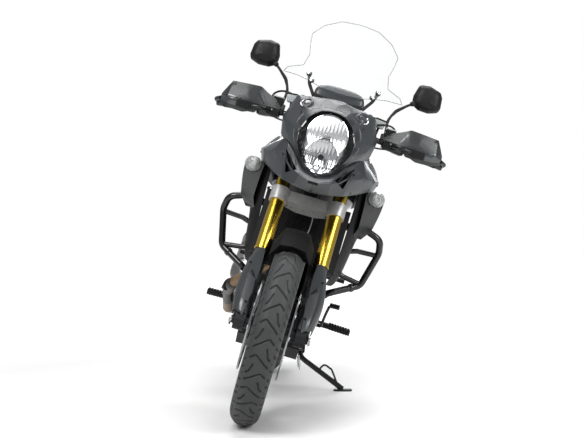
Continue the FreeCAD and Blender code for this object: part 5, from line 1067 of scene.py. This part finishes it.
class MOTORCYCLE_OT_fork_details(bpy.types.Operator):
    """Builds the fork's caps, seals, pinch bolts, guard panels and axle nuts"""
    bl_idname = "motorcycle.fork_details"
    bl_label = "Fork details"

    def execute(self, context):
        for name, finish, heights, profile, steps in FORK_PARTS:
            spots = [shifted(LEG_SIDE * side, LEG_BACK, up) for side in (-1, 1) for up in heights]
            add_piece(name, "steering", copies(pattern(turned(profile, steps)), spots), finish, LEGS)
        spots = []
        for side in (-1, 1):
            for up in (496, 516):
                spots += [aimed((side * 92.2, 58, up), (-side, 0, 0)),
                          aimed((side * 118.8, 58, up), (side, 0, 0))]
            spots.append(aimed((side * 118.8, 58, 702), (side, 0, 0)))
        add_piece("clamp_bolts", "steering", copies(socket_bolt(5, 5), spots), "brushed_steel", LEGS)
        nuts = copies(hex_bolt(15, 9), [aimed((side * 134, 0, 0), (side, 0, 0)) for side in (-1, 1)])
        screw = socket_bolt(4.5, 4)
        for side in (-1, 1):
            for up in (18, 2):
                stamp(nuts, screw, aimed((side * LEG_SIDE, 38.5, up), (0, 1, 0)))
        add_piece("front_axle_nuts", "steering", nuts, "brushed_steel", LEGS)
        for side, label in SIDES:
            self.guard_panel(side, label)
        self.clamp_blocks()
        return {"FINISHED"}

    def guard_panel(self, side, label):
        """The raised lower panel on a fork guard and the guard's bolts."""
        rows = []
        for up, inner, middle, outer, lift in GUARD_ROWS:
            front = GUARD_FRONT - lift
            rows.append([(side * inner, GUARD_FRONT + 1, up), (side * (inner + 3), front, up),
                         (side * middle, front - 1.2, up + 8), (side * outer, front, up + 14),
                         (side * (outer + 3), GUARD_FRONT + 1, up + 15)])
        panel = add_piece("fork_guard_panel_" + label, "steering", skinned(rows), "guard_grey", LEGS, 30)
        wall = panel.modifiers.new("wall", "SOLIDIFY")
        wall.thickness = 0.0015
        wall.offset = -1
        spots = [aimed((side * x, GUARD_FRONT - out, up), (0, -1, 0))
                 for x, out, up in ((128, 0, 205), (104, 5.2, 60))]
        add_piece("fork_guard_screws_" + label, "steering", copies(socket_bolt(4.2, 3), spots),
                  "dark_steel", LEGS)

    def clamp_blocks(self):
        """Caps and bolts of the handlebar's clamp."""
        caps = copies(pattern(block((22, 44, 13), 3, 3)), [shifted(30 * side, 373, 1037) for side in (-1, 1)])
        add_piece("bar_clamp_caps", "steering", caps, "bare_cast")
        spots = [aimed((30 * side, y, 1043.5), (0, 0, 1)) for side in (-1, 1) for y in (358, 388)]
        add_piece("bar_clamp_screws", "steering", copies(socket_bolt(4, 4), spots), "dark_steel")


DISC_FACE = 69.5
VALVES = (("front_valve", "front_wheel", 218, FRONT_WHEEL), ("rear_valve", "rear_wheel", 191, REAR_WHEEL))
VALVE_STEM = ((6, 2), (6, -4), (3.4, -7), (2.7, -14), (2.7, -30), (3.6, -31), (3.6, -38), (0, -39))


class MOTORCYCLE_OT_brakes(bpy.types.Operator):
    """Builds the discs' rivets and bolts, the calipers' caps and the tyre valves"""
    bl_idname = "motorcycle.brake_details"
    bl_label = "Brake details"

    def execute(self, context):
        rivet = pattern(turned([(0, 1.2), (3.4, 1.2), (4, 2), (6.5, 2), (7.2, 1), (7.2, -0.5)], 16))
        bolt = socket_bolt(5, 4)
        for name, mesh, ring, finish in (("front_disc_rivets", rivet, round_spots(10, 124), "brushed_steel"),
                                         ("front_disc_bolts", bolt, round_spots(5, 38, 0.5), "dark_steel")):
            spots = [aimed((side * DISC_FACE, y, z), (side, 0, 0)) for side in (-1, 1) for y, z in ring]
            add_piece(name, "front_wheel", copies(mesh, spots), finish, FRONT_WHEEL)
        rear = copies(bolt, [aimed((-86.5, y, z), (-1, 0, 0)) for y, z in round_spots(5, 48, 0.5)])
        nut = hex_bolt(6.5, 5)
        for y, z in round_spots(5, 50, 0.5):
            stamp(rear, nut, aimed((98.6, y, z), (1, 0, 0)))
        add_piece("rear_wheel_bolts", "rear_wheel", rear, "brushed_steel", REAR_WHEEL)
        for name, body, depth, place in VALVES:
            add_piece(name, body, turned(VALVE_STEM, 16), "rubber_black",
                      place @ rolled(36, "X") @ shifted(0, 0, depth))
        cap = pattern(turned([(0, 4), (9, 4), (10, 3), (16, 2.6), (17.5, 1), (17.5, -1)], 28))
        spots = [rolled(-37, "X") @ aimed((side * 95, y, 146), (side, 0, 0))
                 for side in (-1, 1) for y in (-24, 24)]
        add_piece("caliper_caps", "steering", copies(cap, spots), "cast_grey", LEGS)
        return {"FINISHED"}


# The engine's covers: side, middle in Y and Z, reach of the bolts, X of the bolts and X of the ring
ENGINE_COVERS = ((-1, 760, 395, 90, 146, 165), (1, 660, 390, 80, 142, 158))
CYLINDERS = (("front", 55), ("rear", -35))
RADIATOR_FOOT, RADIATOR_TOP = Vector((0, 335, 560)), Vector((0, 384, 797))


class MOTORCYCLE_OT_engine_details(bpy.types.Operator):
    """Builds the cover bolts and rings, spark plug boots, oil filter and the radiator's fins and bars"""
    bl_idname = "motorcycle.engine_details"
    bl_label = "Engine details"

    def execute(self, context):
        spots = [aimed((side * face, y + a, z + b), (side, 0, 0))
                 for side, y, z, reach, face, far in ENGINE_COVERS for a, b in round_spots(8, reach)]
        add_piece("engine_cover_bolts", "chassis", copies(hex_bolt(5.5, 4.5), spots), "brushed_steel")
        ring = pattern(turned([(18, 0), (18, 1.5), (20, 2.5), (26, 2.5), (28, 1), (28, 0)], 40))
        spots = [aimed((side * far, y, z), (side, 0, 0)) for side, y, z, reach, face, far in ENGINE_COVERS]
        add_piece("engine_cover_rings", "chassis", copies(ring, spots), "cast_grey")
        oil_filter = turned([(0, 62), (22, 62), (28, 60), (31, 55), (32, 50), (32, 6), (30, 0)], 36)
        add_piece("oil_filter", "chassis", oil_filter, "dark_steel",
                  BIKE @ aimed((34, 476, 392), (0, -0.96, -0.28)), 40)
        for label, turn in CYLINDERS:
            head = shifted(0, 700, 400) @ rolled(turn, "X")
            boot = turned([(0, 28), (7, 27), (10, 22), (10, 14), (13, 12), (13, 0)], 24)
            add_piece("spark_boot_" + label, "chassis", boot, "rubber_black",
                      BIKE @ head @ aimed((0, 0, 314), (0, 0, 1)), 40)
            spots = [head @ aimed((a, b, 313.8), (0, 0, 1)) for a in (-54, 54) for b in (-46, 46)]
            add_piece("head_bolts_" + label, "chassis", copies(hex_bolt(5, 4), spots), "brushed_steel")
        self.radiator_face()
        return {"FINISHED"}

    def radiator_face(self):
        """The radiator's fins, the guard's bars in front of them and the filler cap."""
        count = sizes().radiator_fins
        slope = RADIATOR_TOP - RADIATOR_FOOT
        tilt = Matrix.Rotation(-math.atan2(slope.y, slope.z), 4, "X")

        def on_face(part, away):
            return Matrix.Translation(RADIATOR_FOOT.lerp(RADIATOR_TOP, part) + Vector(away)) @ tilt

        fins = [on_face((step + 0.7) / (count + 0.4), (0, -2.4, 0.5)) for step in range(count)]
        add_piece("radiator_fins", "chassis", copies(pattern(block((262, 5, 1.3), 0.4, 1)), fins),
                  "lamp_ring")
        bars = [on_face(0.5, (-112 + step * 28, -6.4, 1)) for step in range(9)]
        add_piece("radiator_guard_bars", "chassis", copies(pattern(block((2.2, 3, 240), 0.6, 1)), bars),
                  "matt_black")
        cap = turned([(0, 13), (12, 13), (14, 11), (18, 11), (19, 9), (19, 3), (14, 0)], 28)
        add_piece("radiator_cap", "chassis", cap, "brushed_steel",
                  BIKE @ aimed((-146, 404, 792), (0, 0.2, 0.98)))


SILENCER_START, SILENCER_END = Vector((-198, 1190, 400)), Vector((-214, 1750, 600))
SILENCER_RADIUS = 62.2


class MOTORCYCLE_OT_exhaust_details(bpy.types.Operator):
    """Builds the exhaust's clamp and the silencer's bands, rivets and outlet"""
    bl_idname = "motorcycle.exhaust_details"
    bl_label = "Exhaust details"

    def execute(self, context):
        run = (SILENCER_END - SILENCER_START).normalized()

        def on_silencer(part):
            return aimed(SILENCER_START.lerp(SILENCER_END, part), run)

        strap = pattern(turned([(62.2, -9), (63.6, -8.4), (63.6, 8.4), (62.2, 9)], 48))
        straps = copies(strap, [on_silencer(part) for part in (0.2, 0.62, 0.86)])
        add_piece("silencer_bands", "chassis", straps, "dark_steel")
        mouth = turned([(24, 6), (26, 7), (27.5, 6), (27.5, -30), (24, -30)], 40)
        add_piece("silencer_outlet", "chassis", mouth, "brushed_steel",
                  BIKE @ on_silencer(1) @ shifted(0, 0, -8))
        rivets = []
        for part in (0.9, 0.15):
            place = on_silencer(part)
            for x, y in round_spots(10, SILENCER_RADIUS):
                spot = place @ Vector((x, y, 0))
                rivets.append(aimed(spot, spot - place.translation))
        add_piece("silencer_rivets", "chassis", copies(socket_bolt(3, 1.6), rivets), "brushed_steel")
        clamp = turned([(22.5, -10), (24.5, -10), (25.5, -9), (25.5, 9), (24.5, 10), (22.5, 10)], 36)
        add_piece("silencer_clamp", "chassis", clamp, "brushed_steel",
                  BIKE @ aimed((-192.5, 1120, 345), (-0.1, 0.8, 0.58)))
        return {"FINISHED"}


INDICATOR_SIDE, INDICATOR_UP = 232.6, 865


class MOTORCYCLE_OT_lights(bpy.types.Operator):
    """Builds the turn lamps' bulbs and reflectors and the tail lamp's segments"""
    bl_idname = "motorcycle.small_lights"
    bl_label = "Turn and tail lamps"

    def execute(self, context):
        for side, label in SIDES:
            bulb = turned([(0, 20), (4.5, 19), (7.5, 15), (8.5, 10), (7.5, 4), (6, 0)], 20)
            bowl = turned([(8 + step * 2.2, (step / 7) ** 2 * 15) for step in range(8)], 36)
            for vert in bowl.verts:
                vert.co.z += 0.7 * math.cos(vert.co.x * 1.4)
            base = turned([(27, -8), (29, -7), (30, 0), (27, 3), (12, 5), (0, 5)], 36)
            bmesh.ops.scale(base, vec=(1.1, 0.92, 1), verts=base.verts)
            for name, shape, finish, y, facing in (
                    ("front_bulb_", bulb, "reservoir_grey", 326, -1),
                    ("front_bulb_reflector_", bowl, "chrome", 333, -1),
                    ("front_indicator_base_", base, "matt_black", 345, 1)):
                add_piece(name + label, "chassis", shape, finish,
                          BIKE @ aimed((side * INDICATOR_SIDE, y, INDICATOR_UP), (0, facing, 0)))
        spots = [shifted(-45 + step * 18, 1776.2 - up * 0.15, 901 + up)
                 for step in range(6) for up in (-5, 5)]
        add_piece("tail_lamp_segments", "chassis", copies(pattern(block((15, 3, 7), 1.5)), spots), "amber")
        return {"FINISHED"}


# The seat's cover: its cells and what its cloth may swell by, in metres, then its seams in millimetres
SEAT_CELL, SWELL = 0.0065, 0.005
CLOTH_FRAMES = 14
CROSS_SEAMS, EDGE_SEAM, NOSE_SEAM = (1000, 1132, 1300), 96, 70
SEAM_HALF_WIDTH, SEAM_DEPTH = 7, 3.2


class MOTORCYCLE_OT_seat(bpy.types.Operator):
    """Builds the padded seat from its frame solid, with a cloth cover, sewn seams and piping"""
    bl_idname = "motorcycle.seat"
    bl_label = "Seat"

    def execute(self, context):
        shape = bmesh.new()
        shape.from_mesh(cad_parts["seat"].data)
        bmesh.ops.remove_doubles(shape, verts=shape.verts, dist=0.00005)
        middle = sum((one.co for one in shape.verts), Vector()) / len(shape.verts)
        for vert in shape.verts:
            vert.co = middle + (vert.co - middle) * 0.985
        mesh = bpy.data.meshes.new("seat_pad")
        shape.to_mesh(mesh)
        shape.free()
        pad = bpy.data.objects.new("seat_pad", mesh)
        context.scene.collection.objects.link(pad)
        voxel = pad.modifiers.new("remesh", "REMESH")
        voxel.mode = "VOXEL"
        voxel.voxel_size = SEAT_CELL
        self.keep(pad)
        self.inflate(pad, context)
        relax = pad.modifiers.new("relax", "SMOOTH")
        relax.factor = 0.5
        relax.iterations = 8
        self.keep(pad)
        self.press_seams(pad)
        self.keep(smoothed(pad, 1))
        pad.data.materials.clear()
        pad.data.materials.append(material_of("grained_cover"))
        pad.data.shade_smooth()
        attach(pad, "chassis")
        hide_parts("seat")
        self.piping()
        return {"FINISHED"}

    def piping(self):
        """Raised cords sewn along both edges of the seat's top."""
        tree = surface_tree("seat_pad")
        down = (BIKE.to_3x3() @ Vector((0, 0, -1))).normalized()
        for side, label in SIDES:
            line = []
            for step in range(16):
                y = 868 + step * 36
                across = NOSE_SEAM + (EDGE_SEAM - NOSE_SEAM) * min(1.0, max(0.0, (y - 930) / 60))
                spot = tree.ray_cast(BIKE @ Vector((side * across, y, 1100)), down)[0]
                if spot:
                    line.append(tuple(BIKE.inverted() @ spot))
            smooth_tube("seat_piping_" + label, "chassis", line, sizes().seam_radius, "piping", sides=3)

    def keep(self, pad):
        """Replaces the pad's mesh by what its modifiers make of it."""
        made = evaluated_mesh(pad)
        pad.modifiers.clear()
        pad.data = made

    def inflate(self, pad, context):
        """A short pressure run, held to what a firm seat swells by."""
        before = [vert.co.copy() for vert in pad.data.vertices]
        cloth = pad.modifiers.new("cover", "CLOTH")
        cloth.settings.use_pressure = True
        cloth.settings.uniform_pressure_force = 4
        cloth.settings.tension_stiffness = 30
        cloth.settings.compression_stiffness = 30
        cloth.settings.bending_stiffness = 2
        cloth.settings.effector_weights.gravity = 0
        cloth.point_cache.frame_start = 1
        cloth.point_cache.frame_end = CLOTH_FRAMES
        for step in range(CLOTH_FRAMES):
            context.scene.frame_set(step + 1)
        self.keep(pad)
        context.scene.frame_set(1)
        for vert, start in zip(pad.data.vertices, before):
            move = vert.co - start
            if move.length > SWELL:
                vert.co = start + move.normalized() * SWELL

    def press_seams(self, pad):
        """Sewn lines across the seat and along both its edges, pressed into the cover."""
        upright = BIKE.inverted()
        for vert in pad.data.vertices:
            place = upright @ vert.co
            if place.z < 850:
                continue
            across = abs(place.x)
            edge = EDGE_SEAM if place.y > 960 else NOSE_SEAM
            away = [abs(place.y - y + across * 0.16) for y in CROSS_SEAMS] + [abs(across - edge)]
            press = 1 - min(away) / SEAM_HALF_WIDTH
            if press > 0:
                place.z -= SEAM_DEPTH * press
                vert.co = BIKE @ place


LINK_END, LINK_WAIST = 6.2, 4.2


def round_point(middle, radius, turn):
    return middle + Vector((math.cos(turn), math.sin(turn))) * radius


class MOTORCYCLE_OT_chain(bpy.types.Operator):
    """Builds the drive chain link by link round both sprockets"""
    bl_idname = "motorcycle.chain"
    bl_label = "Chain"

    def execute(self, context):
        front, rear = Vector((900, 415)), Vector((WHEELBASE, REAR_AXLE_HEIGHT))
        small, big = [CHAIN_PITCH / (2 * math.sin(math.pi / teeth)) for teeth in (FRONT_TEETH, REAR_TEETH)]
        gap = rear - front
        lean = math.asin((big - small) / gap.length)
        slope = math.atan2(gap.y, gap.x)
        straight = gap.length * math.cos(lean)
        rear_arc = big * (math.pi + 2 * lean)
        front_arc = small * (math.pi - 2 * lean)
        total = straight * 2 + rear_arc + front_arc
        links = 2 * round(total / CHAIN_PITCH / 2)
        top, low = slope + math.pi / 2 + lean, slope - math.pi / 2 - lean

        def spot(distance):
            """A place on the pitch line."""
            distance %= total
            if distance < rear_arc:
                return round_point(rear, big, top - distance / big)
            distance -= rear_arc
            if distance < straight:
                return round_point(round_point(rear, big, low), distance, low - math.pi / 2)
            distance -= straight
            if distance < front_arc:
                return round_point(front, small, low - distance / small)
            return round_point(round_point(front, small, top), distance - front_arc, top - math.pi / 2)

        lobe = [round_point(Vector((CHAIN_PITCH / 2, 0)), LINK_END, math.radians(turn))
                for turn in (60, 20, -20, -60)]
        outline = [*lobe, (0, -LINK_WAIST), *[(-x, z) for x, z in reversed(lobe)], (0, LINK_WAIST)]
        side_plate = pattern(plate(outline, 1.5))
        pin = pattern(rod(2.2, 17.4, 8))
        roller = pattern(rod(5, 9.6, 10))
        # A link's plate is drawn in X and Z; this lays it in Y and Z
        along_chain = Matrix(((0, 1, 0, 0), (1, 0, 0, 0), (0, 0, 1, 0), (0, 0, 0, 1)))
        chain = bmesh.new()
        pins = bmesh.new()
        for count in range(links):
            start, end = spot(count * total / links), spot((count + 1) * total / links)
            centre = (start + end) / 2
            turn = math.atan2(end.y - start.y, end.x - start.x)
            for side in (-1, 1):
                x = CHAIN_SIDE + side * (7.6 if count % 2 else 6.0)
                stamp(chain, side_plate, shifted(x - 0.75, centre.x, centre.y) @
                      Matrix.Rotation(turn, 4, "X") @ along_chain)
            if (start - rear).length > big + 15 and (start - front).length > small + 10:
                for mesh in (roller, pin):
                    stamp(pins, mesh, shifted(CHAIN_SIDE, start.x, start.y) @ rolled(90, "Y"))
            else:
                for side in (-1, 1):
                    stamp(pins, pin, shifted(CHAIN_SIDE + side * 7.6, start.x, start.y) @ rolled(90, "Y") @
                          Matrix.Diagonal((1, 1, 0.14, 1)))
        add_piece("drive_chain", "chassis", chain, "oiled_steel", replaces=("chain",))
        add_piece("drive_chain_pins", "chassis", pins, "brushed_steel")
        return {"FINISHED"}


# Screws by the panel that each pair is seated on
PANEL_SCREWS = (
    ("shoulder_cowls", ((240, 450, 920), (235, 480, 800), (225, 440, 730))),
    ("nose_cowl", ((150, 190, 1080), (120, 130, 985))), ("tail_panels", ((140, 1300, 830), (140, 1480, 860))),
)
# The crash bars' tubes that carry a collar, by their ends
COLLAR_TUBES = (((136, 560, 742), (226, 505, 757)), ((168, 512, 484), (120, 570, 446)),
                ((277, 550, 544), (168, 512, 484)))
FILLER = (0, 600, 1086)
PEG_INNER, PEG_OUTER = Vector((216, 952, 332)), Vector((312, 944, 330))
SPRING_HOOK, SPRING_LEG = Vector((128, 884, 196)), Vector((152, 868, 132))
SPRING_TURNS, TURN_STEPS, SPRING_RADIUS = 11, 12, 6.2


class MOTORCYCLE_OT_body_fittings(bpy.types.Operator):
    """Builds the fairing's screws, filler lock, crash bar collars, peg rubbers and the blank plate"""
    bl_idname = "motorcycle.body_fittings"
    bl_label = "Body fittings"

    def execute(self, context):
        spots = [nearest(panel, (x * side, y, z)) for panel, places in PANEL_SCREWS
                 for x, y, z in places for side in (-1, 1)]
        add_piece("fairing_screws", "chassis", copies(socket_bolt(5, 2.6), spots), "dark_steel")
        self.filler_lock()
        collar = pattern(turned([(13.2, -7), (15.5, -6.4), (16, -5), (16, 5), (15.5, 6.4), (13.2, 7)], 28))
        spots = []
        for side in (-1, 1):
            for ends in COLLAR_TUBES:
                start, end = [Vector((x * side, y, z)) for x, y, z in ends]
                spots.append(aimed(start.lerp(end, 0.3), end - start))
        add_piece("crash_bar_collars", "chassis", copies(collar, spots), "dark_steel")
        spots = []
        for side in (-1, 1):
            for step in range(8):
                spot = PEG_INNER.lerp(PEG_OUTER, (step + 0.6) / 8.4)
                spots.append(shifted(spot.x * side, spot.y, spot.z + 14.5))
        add_piece("peg_rubbers", "chassis", copies(pattern(block((9, 25, 5), 1.4)), spots), "rubber_black")
        self.plate_and_reflector()
        self.stand_spring()
        return {"FINISHED"}

    def filler_lock(self):
        """The filler cap's bright ring with its screws."""
        x, y, z = FILLER
        ring = pattern(turned([(0, 3.6), (13, 3.6), (14, 2.8), (34, 2.8), (38, 1.6), (39.5, -1),
                               (39.5, -4)], 48))
        cap = copies(ring, [shifted(*FILLER)])
        screw = socket_bolt(2.6, 1.8)
        for across, back in round_spots(6, 30):
            stamp(cap, screw, aimed((x + across, y + back, z + 2.8), (0, 0, 1)))
        add_piece("filler_lock", "chassis", cap, "brushed_steel")

    def plate_and_reflector(self):
        """A blank registration plate held by two screws, and the reflector above it."""
        sign = plate([(-94, -38), (94, -38), (94, 38), (-94, 38)], 1.2, 0.4)
        place = BIKE @ shifted(0, 1957, 600) @ rolled(-5.3, "X")
        add_piece("blank_plate", "chassis", sign, "blank_plate", place)
        screws = copies(socket_bolt(4, 1.5), [aimed((x, 1.2, 22), (0, 1, 0)) for x in (-60, 60)])
        add_piece("plate_screws", "chassis", screws, "dark_steel", place)
        reflector = turned([(0, 3), (20, 3), (21.5, 2), (22, 0)], 32)
        add_piece("rear_reflector", "chassis", reflector, "tail_lens",
                  BIKE @ aimed((0, 1877, 716), (0, 0.72, -0.2)) @ shifted(0, 0, 4))

    def stand_spring(self):
        """The side stand's spring between the frame's hook and the leg."""
        run = SPRING_LEG - SPRING_HOOK
        place = aimed(SPRING_HOOK, run)
        coils = []
        for step in range(SPRING_TURNS * TURN_STEPS + 1):
            turn = math.tau * step / TURN_STEPS
            reach = run.length * (0.16 + 0.68 * step / (SPRING_TURNS * TURN_STEPS))
            across, back = SPRING_RADIUS * math.cos(turn), SPRING_RADIUS * math.sin(turn)
            coils.append(place @ Vector((across, back, reach)))
        smooth_tube("stand_spring", "side_stand", [SPRING_HOOK, *coils, SPRING_LEG], 0.0014, "brushed_steel",
                    sides=2)


# The dashboard's hood: Y, half width, Z of its foot and Z of its top
HOOD_ROWS = ((236, 60, 1150, 1152), (238, 84, 1160, 1180), (246, 89, 1166, 1205), (262, 91, 1166, 1212),
             (299, 91, 1166, 1210))


class MOTORCYCLE_OT_dash(bpy.types.Operator):
    """Builds the dashboard's hood, glass, dial ring and ticks, seen from the rider's seat"""
    bl_idname = "motorcycle.dash"
    bl_label = "Dashboard"

    def execute(self, context):
        self.hood()
        place = BIKE @ shifted(0, 296, 1145)
        bezel = plate([(-80, -38), (80, -38), (80, 22), (66, 38), (-66, 38), (-80, 22)], 5, 2)
        add_piece("dash_bezel", "chassis", bezel, "matt_black", place)
        glass = plate([(-72, -31), (72, -31), (72, 18), (60, 31), (-60, 31), (-72, 18)], 2, 0.6)
        add_piece("dash_glass", "chassis", glass, "dial_glass", place @ shifted(0, 5, 0))
        dial = turned([(22, 0), (24, 1.4), (27, 1.6), (28, 0)], 48)
        add_piece("dash_dial_ring", "chassis", dial, "brushed_steel",
                  place @ shifted(-34, 7.2, 0) @ rolled(-90, "X"))
        spots = [rolled(-130 + step * 13, "Y") @ shifted(0, 0, 18) for step in range(21)]
        add_piece("dash_ticks", "chassis", copies(pattern(block((1, 0.6, 5), 0.2, 1)), spots), "blank_plate",
                  place @ shifted(-34, 7.4, 0))
        return {"FINISHED"}

    def hood(self):
        """The rounded sun hood over the dashboard."""
        rows = []
        for y, half, low, top in HOOD_ROWS:
            arch = []
            for step in range(17):
                turn = math.pi * step / 16
                across, rise = math.cos(turn), math.sin(turn)
                arch.append((half * math.copysign(abs(across) ** 0.7, across), y,
                             low + (top - low) * rise ** 0.62))
            rows.append(arch)
        smoothed(add_piece("dash_hood", "chassis", skinned(rows, wall=3), "fairing_grey", bend=60), 1)


# Lights by their name, place and size in metres and power in watts, and the fitted camera
LIGHTS = (
    ("key", (-1.8, -3.4, 3.4), 2.2, 170), ("fill", (2.9, -2.8, 2.2), 2.0, 110),
    ("top", (0.2, 0.6, 4.2), 3.0, 130), ("rear", (0.6, 4.2, 2.8), 2.5, 90),
)
LIT_POINT = Vector((0, -0.3, 0.7))
SENSOR_WIDTH = 36
PHOTO_FOCUS, PHOTO_WIDTH = 1102.1, 584
CAMERA_PLACE = (0.2359, -3.6848, 0.6148)
CAMERA_TURN, CAMERA_RISE = math.radians(-1.043), math.radians(1.136)


class MOTORCYCLE_OT_stage(bpy.types.Operator):
    """Builds the pale floor, the soft studio lights and the camera at the photograph's angle"""
    bl_idname = "motorcycle.stage"
    bl_label = "Stage"

    def execute(self, context):
        scene = context.scene
        ground = bmesh.new()
        bmesh.ops.create_grid(ground, x_segments=1, y_segments=1, size=14)
        mesh = bpy.data.meshes.new("floor")
        ground.to_mesh(mesh)
        ground.free()
        mesh.materials.append(self.floor_paint())
        floor = bpy.data.objects.new("floor", mesh)
        scene.collection.objects.link(floor)
        world = bpy.data.worlds.new("studio")
        scene.world = world
        world.use_nodes = True
        self.white_backdrop(world.node_tree)
        for name, place, reach, power in LIGHTS:
            light = bpy.data.lights.new(name, "AREA")
            light.energy = power
            light.size = reach
            lamp = bpy.data.objects.new(name, light)
            scene.collection.objects.link(lamp)
            lamp.location = place
            lamp.rotation_euler = (LIT_POINT - Vector(place)).to_track_quat("-Z", "Y").to_euler()
        camera = bpy.data.cameras.new("photo_camera")
        camera.sensor_width = SENSOR_WIDTH
        camera.lens = PHOTO_FOCUS * SENSOR_WIDTH / PHOTO_WIDTH
        eye = bpy.data.objects.new("photo_camera", camera)
        scene.collection.objects.link(eye)
        eye.location = Vector(CAMERA_PLACE) + SHIFT
        forward = Vector((math.sin(CAMERA_TURN), math.cos(CAMERA_TURN), math.tan(CAMERA_RISE)))
        eye.rotation_euler = forward.to_track_quat("-Z", "Y").to_euler()
        scene.camera = eye
        scene.view_settings.view_transform = "Standard"
        return {"FINISHED"}

    def floor_paint(self):
        """Pale paint that fades into the white backdrop away from the machine."""
        material = bpy.data.materials.new("pale_floor")
        material.use_nodes = True
        tree = material.node_tree
        shader = tree.nodes["Principled BSDF"].inputs
        shader["Base Color"].default_value = (0.74, 0.74, 0.73, 1)
        shader["Roughness"].default_value = 0.55
        shader["Emission Color"].default_value = (1, 1, 1, 1)
        place = shader_node(tree, "TexCoord", {}).outputs["Object"]
        reach = shader_node(tree, "VectorMath", {0: place}, operation="LENGTH").outputs["Value"]
        seen = shader_node(tree, "LightPath", {}).outputs["Is Camera Ray"]
        glow = shader_node(tree, "Math", {0: in_range(tree, reach, 0.0, 1.0, 1.6, 6.0), 1: seen},
                           operation="MULTIPLY")
        tree.links.new(glow.outputs[0], shader["Emission Strength"])
        return material

    def white_backdrop(self, tree):
        """White where the camera looks past the machine, softer where it lights it."""
        soft = tree.nodes["Background"]
        soft.inputs["Color"].default_value = (0.92, 0.94, 0.96, 1)
        soft.inputs["Strength"].default_value = 0.42
        white = shader_node(tree, "Background", {"Color": (1, 1, 1, 1), "Strength": 1.0})
        rays = shader_node(tree, "LightPath", {}).outputs
        either = shader_node(tree, "Math", {0: rays["Is Camera Ray"], 1: rays["Is Transmission Ray"]},
                             operation="MAXIMUM")
        mix = shader_node(tree, "MixShader", {0: either.outputs[0], 1: soft.outputs[0], 2: white.outputs[0]})
        tree.links.new(mix.outputs[0], tree.nodes["World Output"].inputs["Surface"])


OPERATORS = (
    MOTORCYCLE_OT_frame_finishes, MOTORCYCLE_OT_soft_bodies, MOTORCYCLE_OT_tyres, MOTORCYCLE_OT_headlamp,
    MOTORCYCLE_OT_nose_trim, MOTORCYCLE_OT_screen_trim, MOTORCYCLE_OT_mirrors, MOTORCYCLE_OT_bar_fittings,
    MOTORCYCLE_OT_hoses, MOTORCYCLE_OT_fork_details, MOTORCYCLE_OT_brakes, MOTORCYCLE_OT_engine_details,
    MOTORCYCLE_OT_exhaust_details, MOTORCYCLE_OT_lights, MOTORCYCLE_OT_seat, MOTORCYCLE_OT_chain,
    MOTORCYCLE_OT_body_fittings, MOTORCYCLE_OT_dash, MOTORCYCLE_OT_stage,
)


class MOTORCYCLE_PT_panel(bpy.types.Panel):
    """Lists the steps that dress the motorcycle"""
    bl_idname = "MOTORCYCLE_PT_panel"
    bl_label = "Adventure motorcycle"
    bl_space_type = "VIEW_3D"
    bl_region_type = "UI"
    bl_category = "Motorcycle"

    def draw(self, context):
        for group in (context.scene.motorcycle_colours, context.scene.motorcycle_sizes):
            for name in group.bl_rna.properties.keys():
                if name not in ("rna_type", "name"):
                    self.layout.prop(group, name)
        for operator in OPERATORS:
            self.layout.operator(operator.bl_idname)


CLASSES = (MotorcycleColours, MotorcycleSizes) + OPERATORS + (MOTORCYCLE_PT_panel,)


def register():
    for one in CLASSES:
        bpy.utils.register_class(one)
    bpy.types.Scene.motorcycle_colours = PointerProperty(type=MotorcycleColours)
    bpy.types.Scene.motorcycle_sizes = PointerProperty(type=MotorcycleSizes)


def unregister():
    del bpy.types.Scene.motorcycle_sizes
    del bpy.types.Scene.motorcycle_colours
    for one in reversed(CLASSES):
        bpy.utils.unregister_class(one)


def main():
    register()
    bpy.ops.motorcycle.frame_finishes()
    bpy.ops.motorcycle.soft_bodies()
    bpy.ops.motorcycle.tyres()
    bpy.ops.motorcycle.headlamp()
    bpy.ops.motorcycle.nose_trim()
    bpy.ops.motorcycle.screen_trim()
    bpy.ops.motorcycle.mirror_glass()
    bpy.ops.motorcycle.bar_fittings()
    bpy.ops.motorcycle.hoses()
    bpy.ops.motorcycle.fork_details()
    bpy.ops.motorcycle.brake_details()
    bpy.ops.motorcycle.engine_details()
    bpy.ops.motorcycle.exhaust_details()
    bpy.ops.motorcycle.small_lights()
    bpy.ops.motorcycle.seat()
    bpy.ops.motorcycle.chain()
    bpy.ops.motorcycle.body_fittings()
    bpy.ops.motorcycle.dash()
    bpy.ops.motorcycle.stage()


if __name__ == "__main__":
    main()
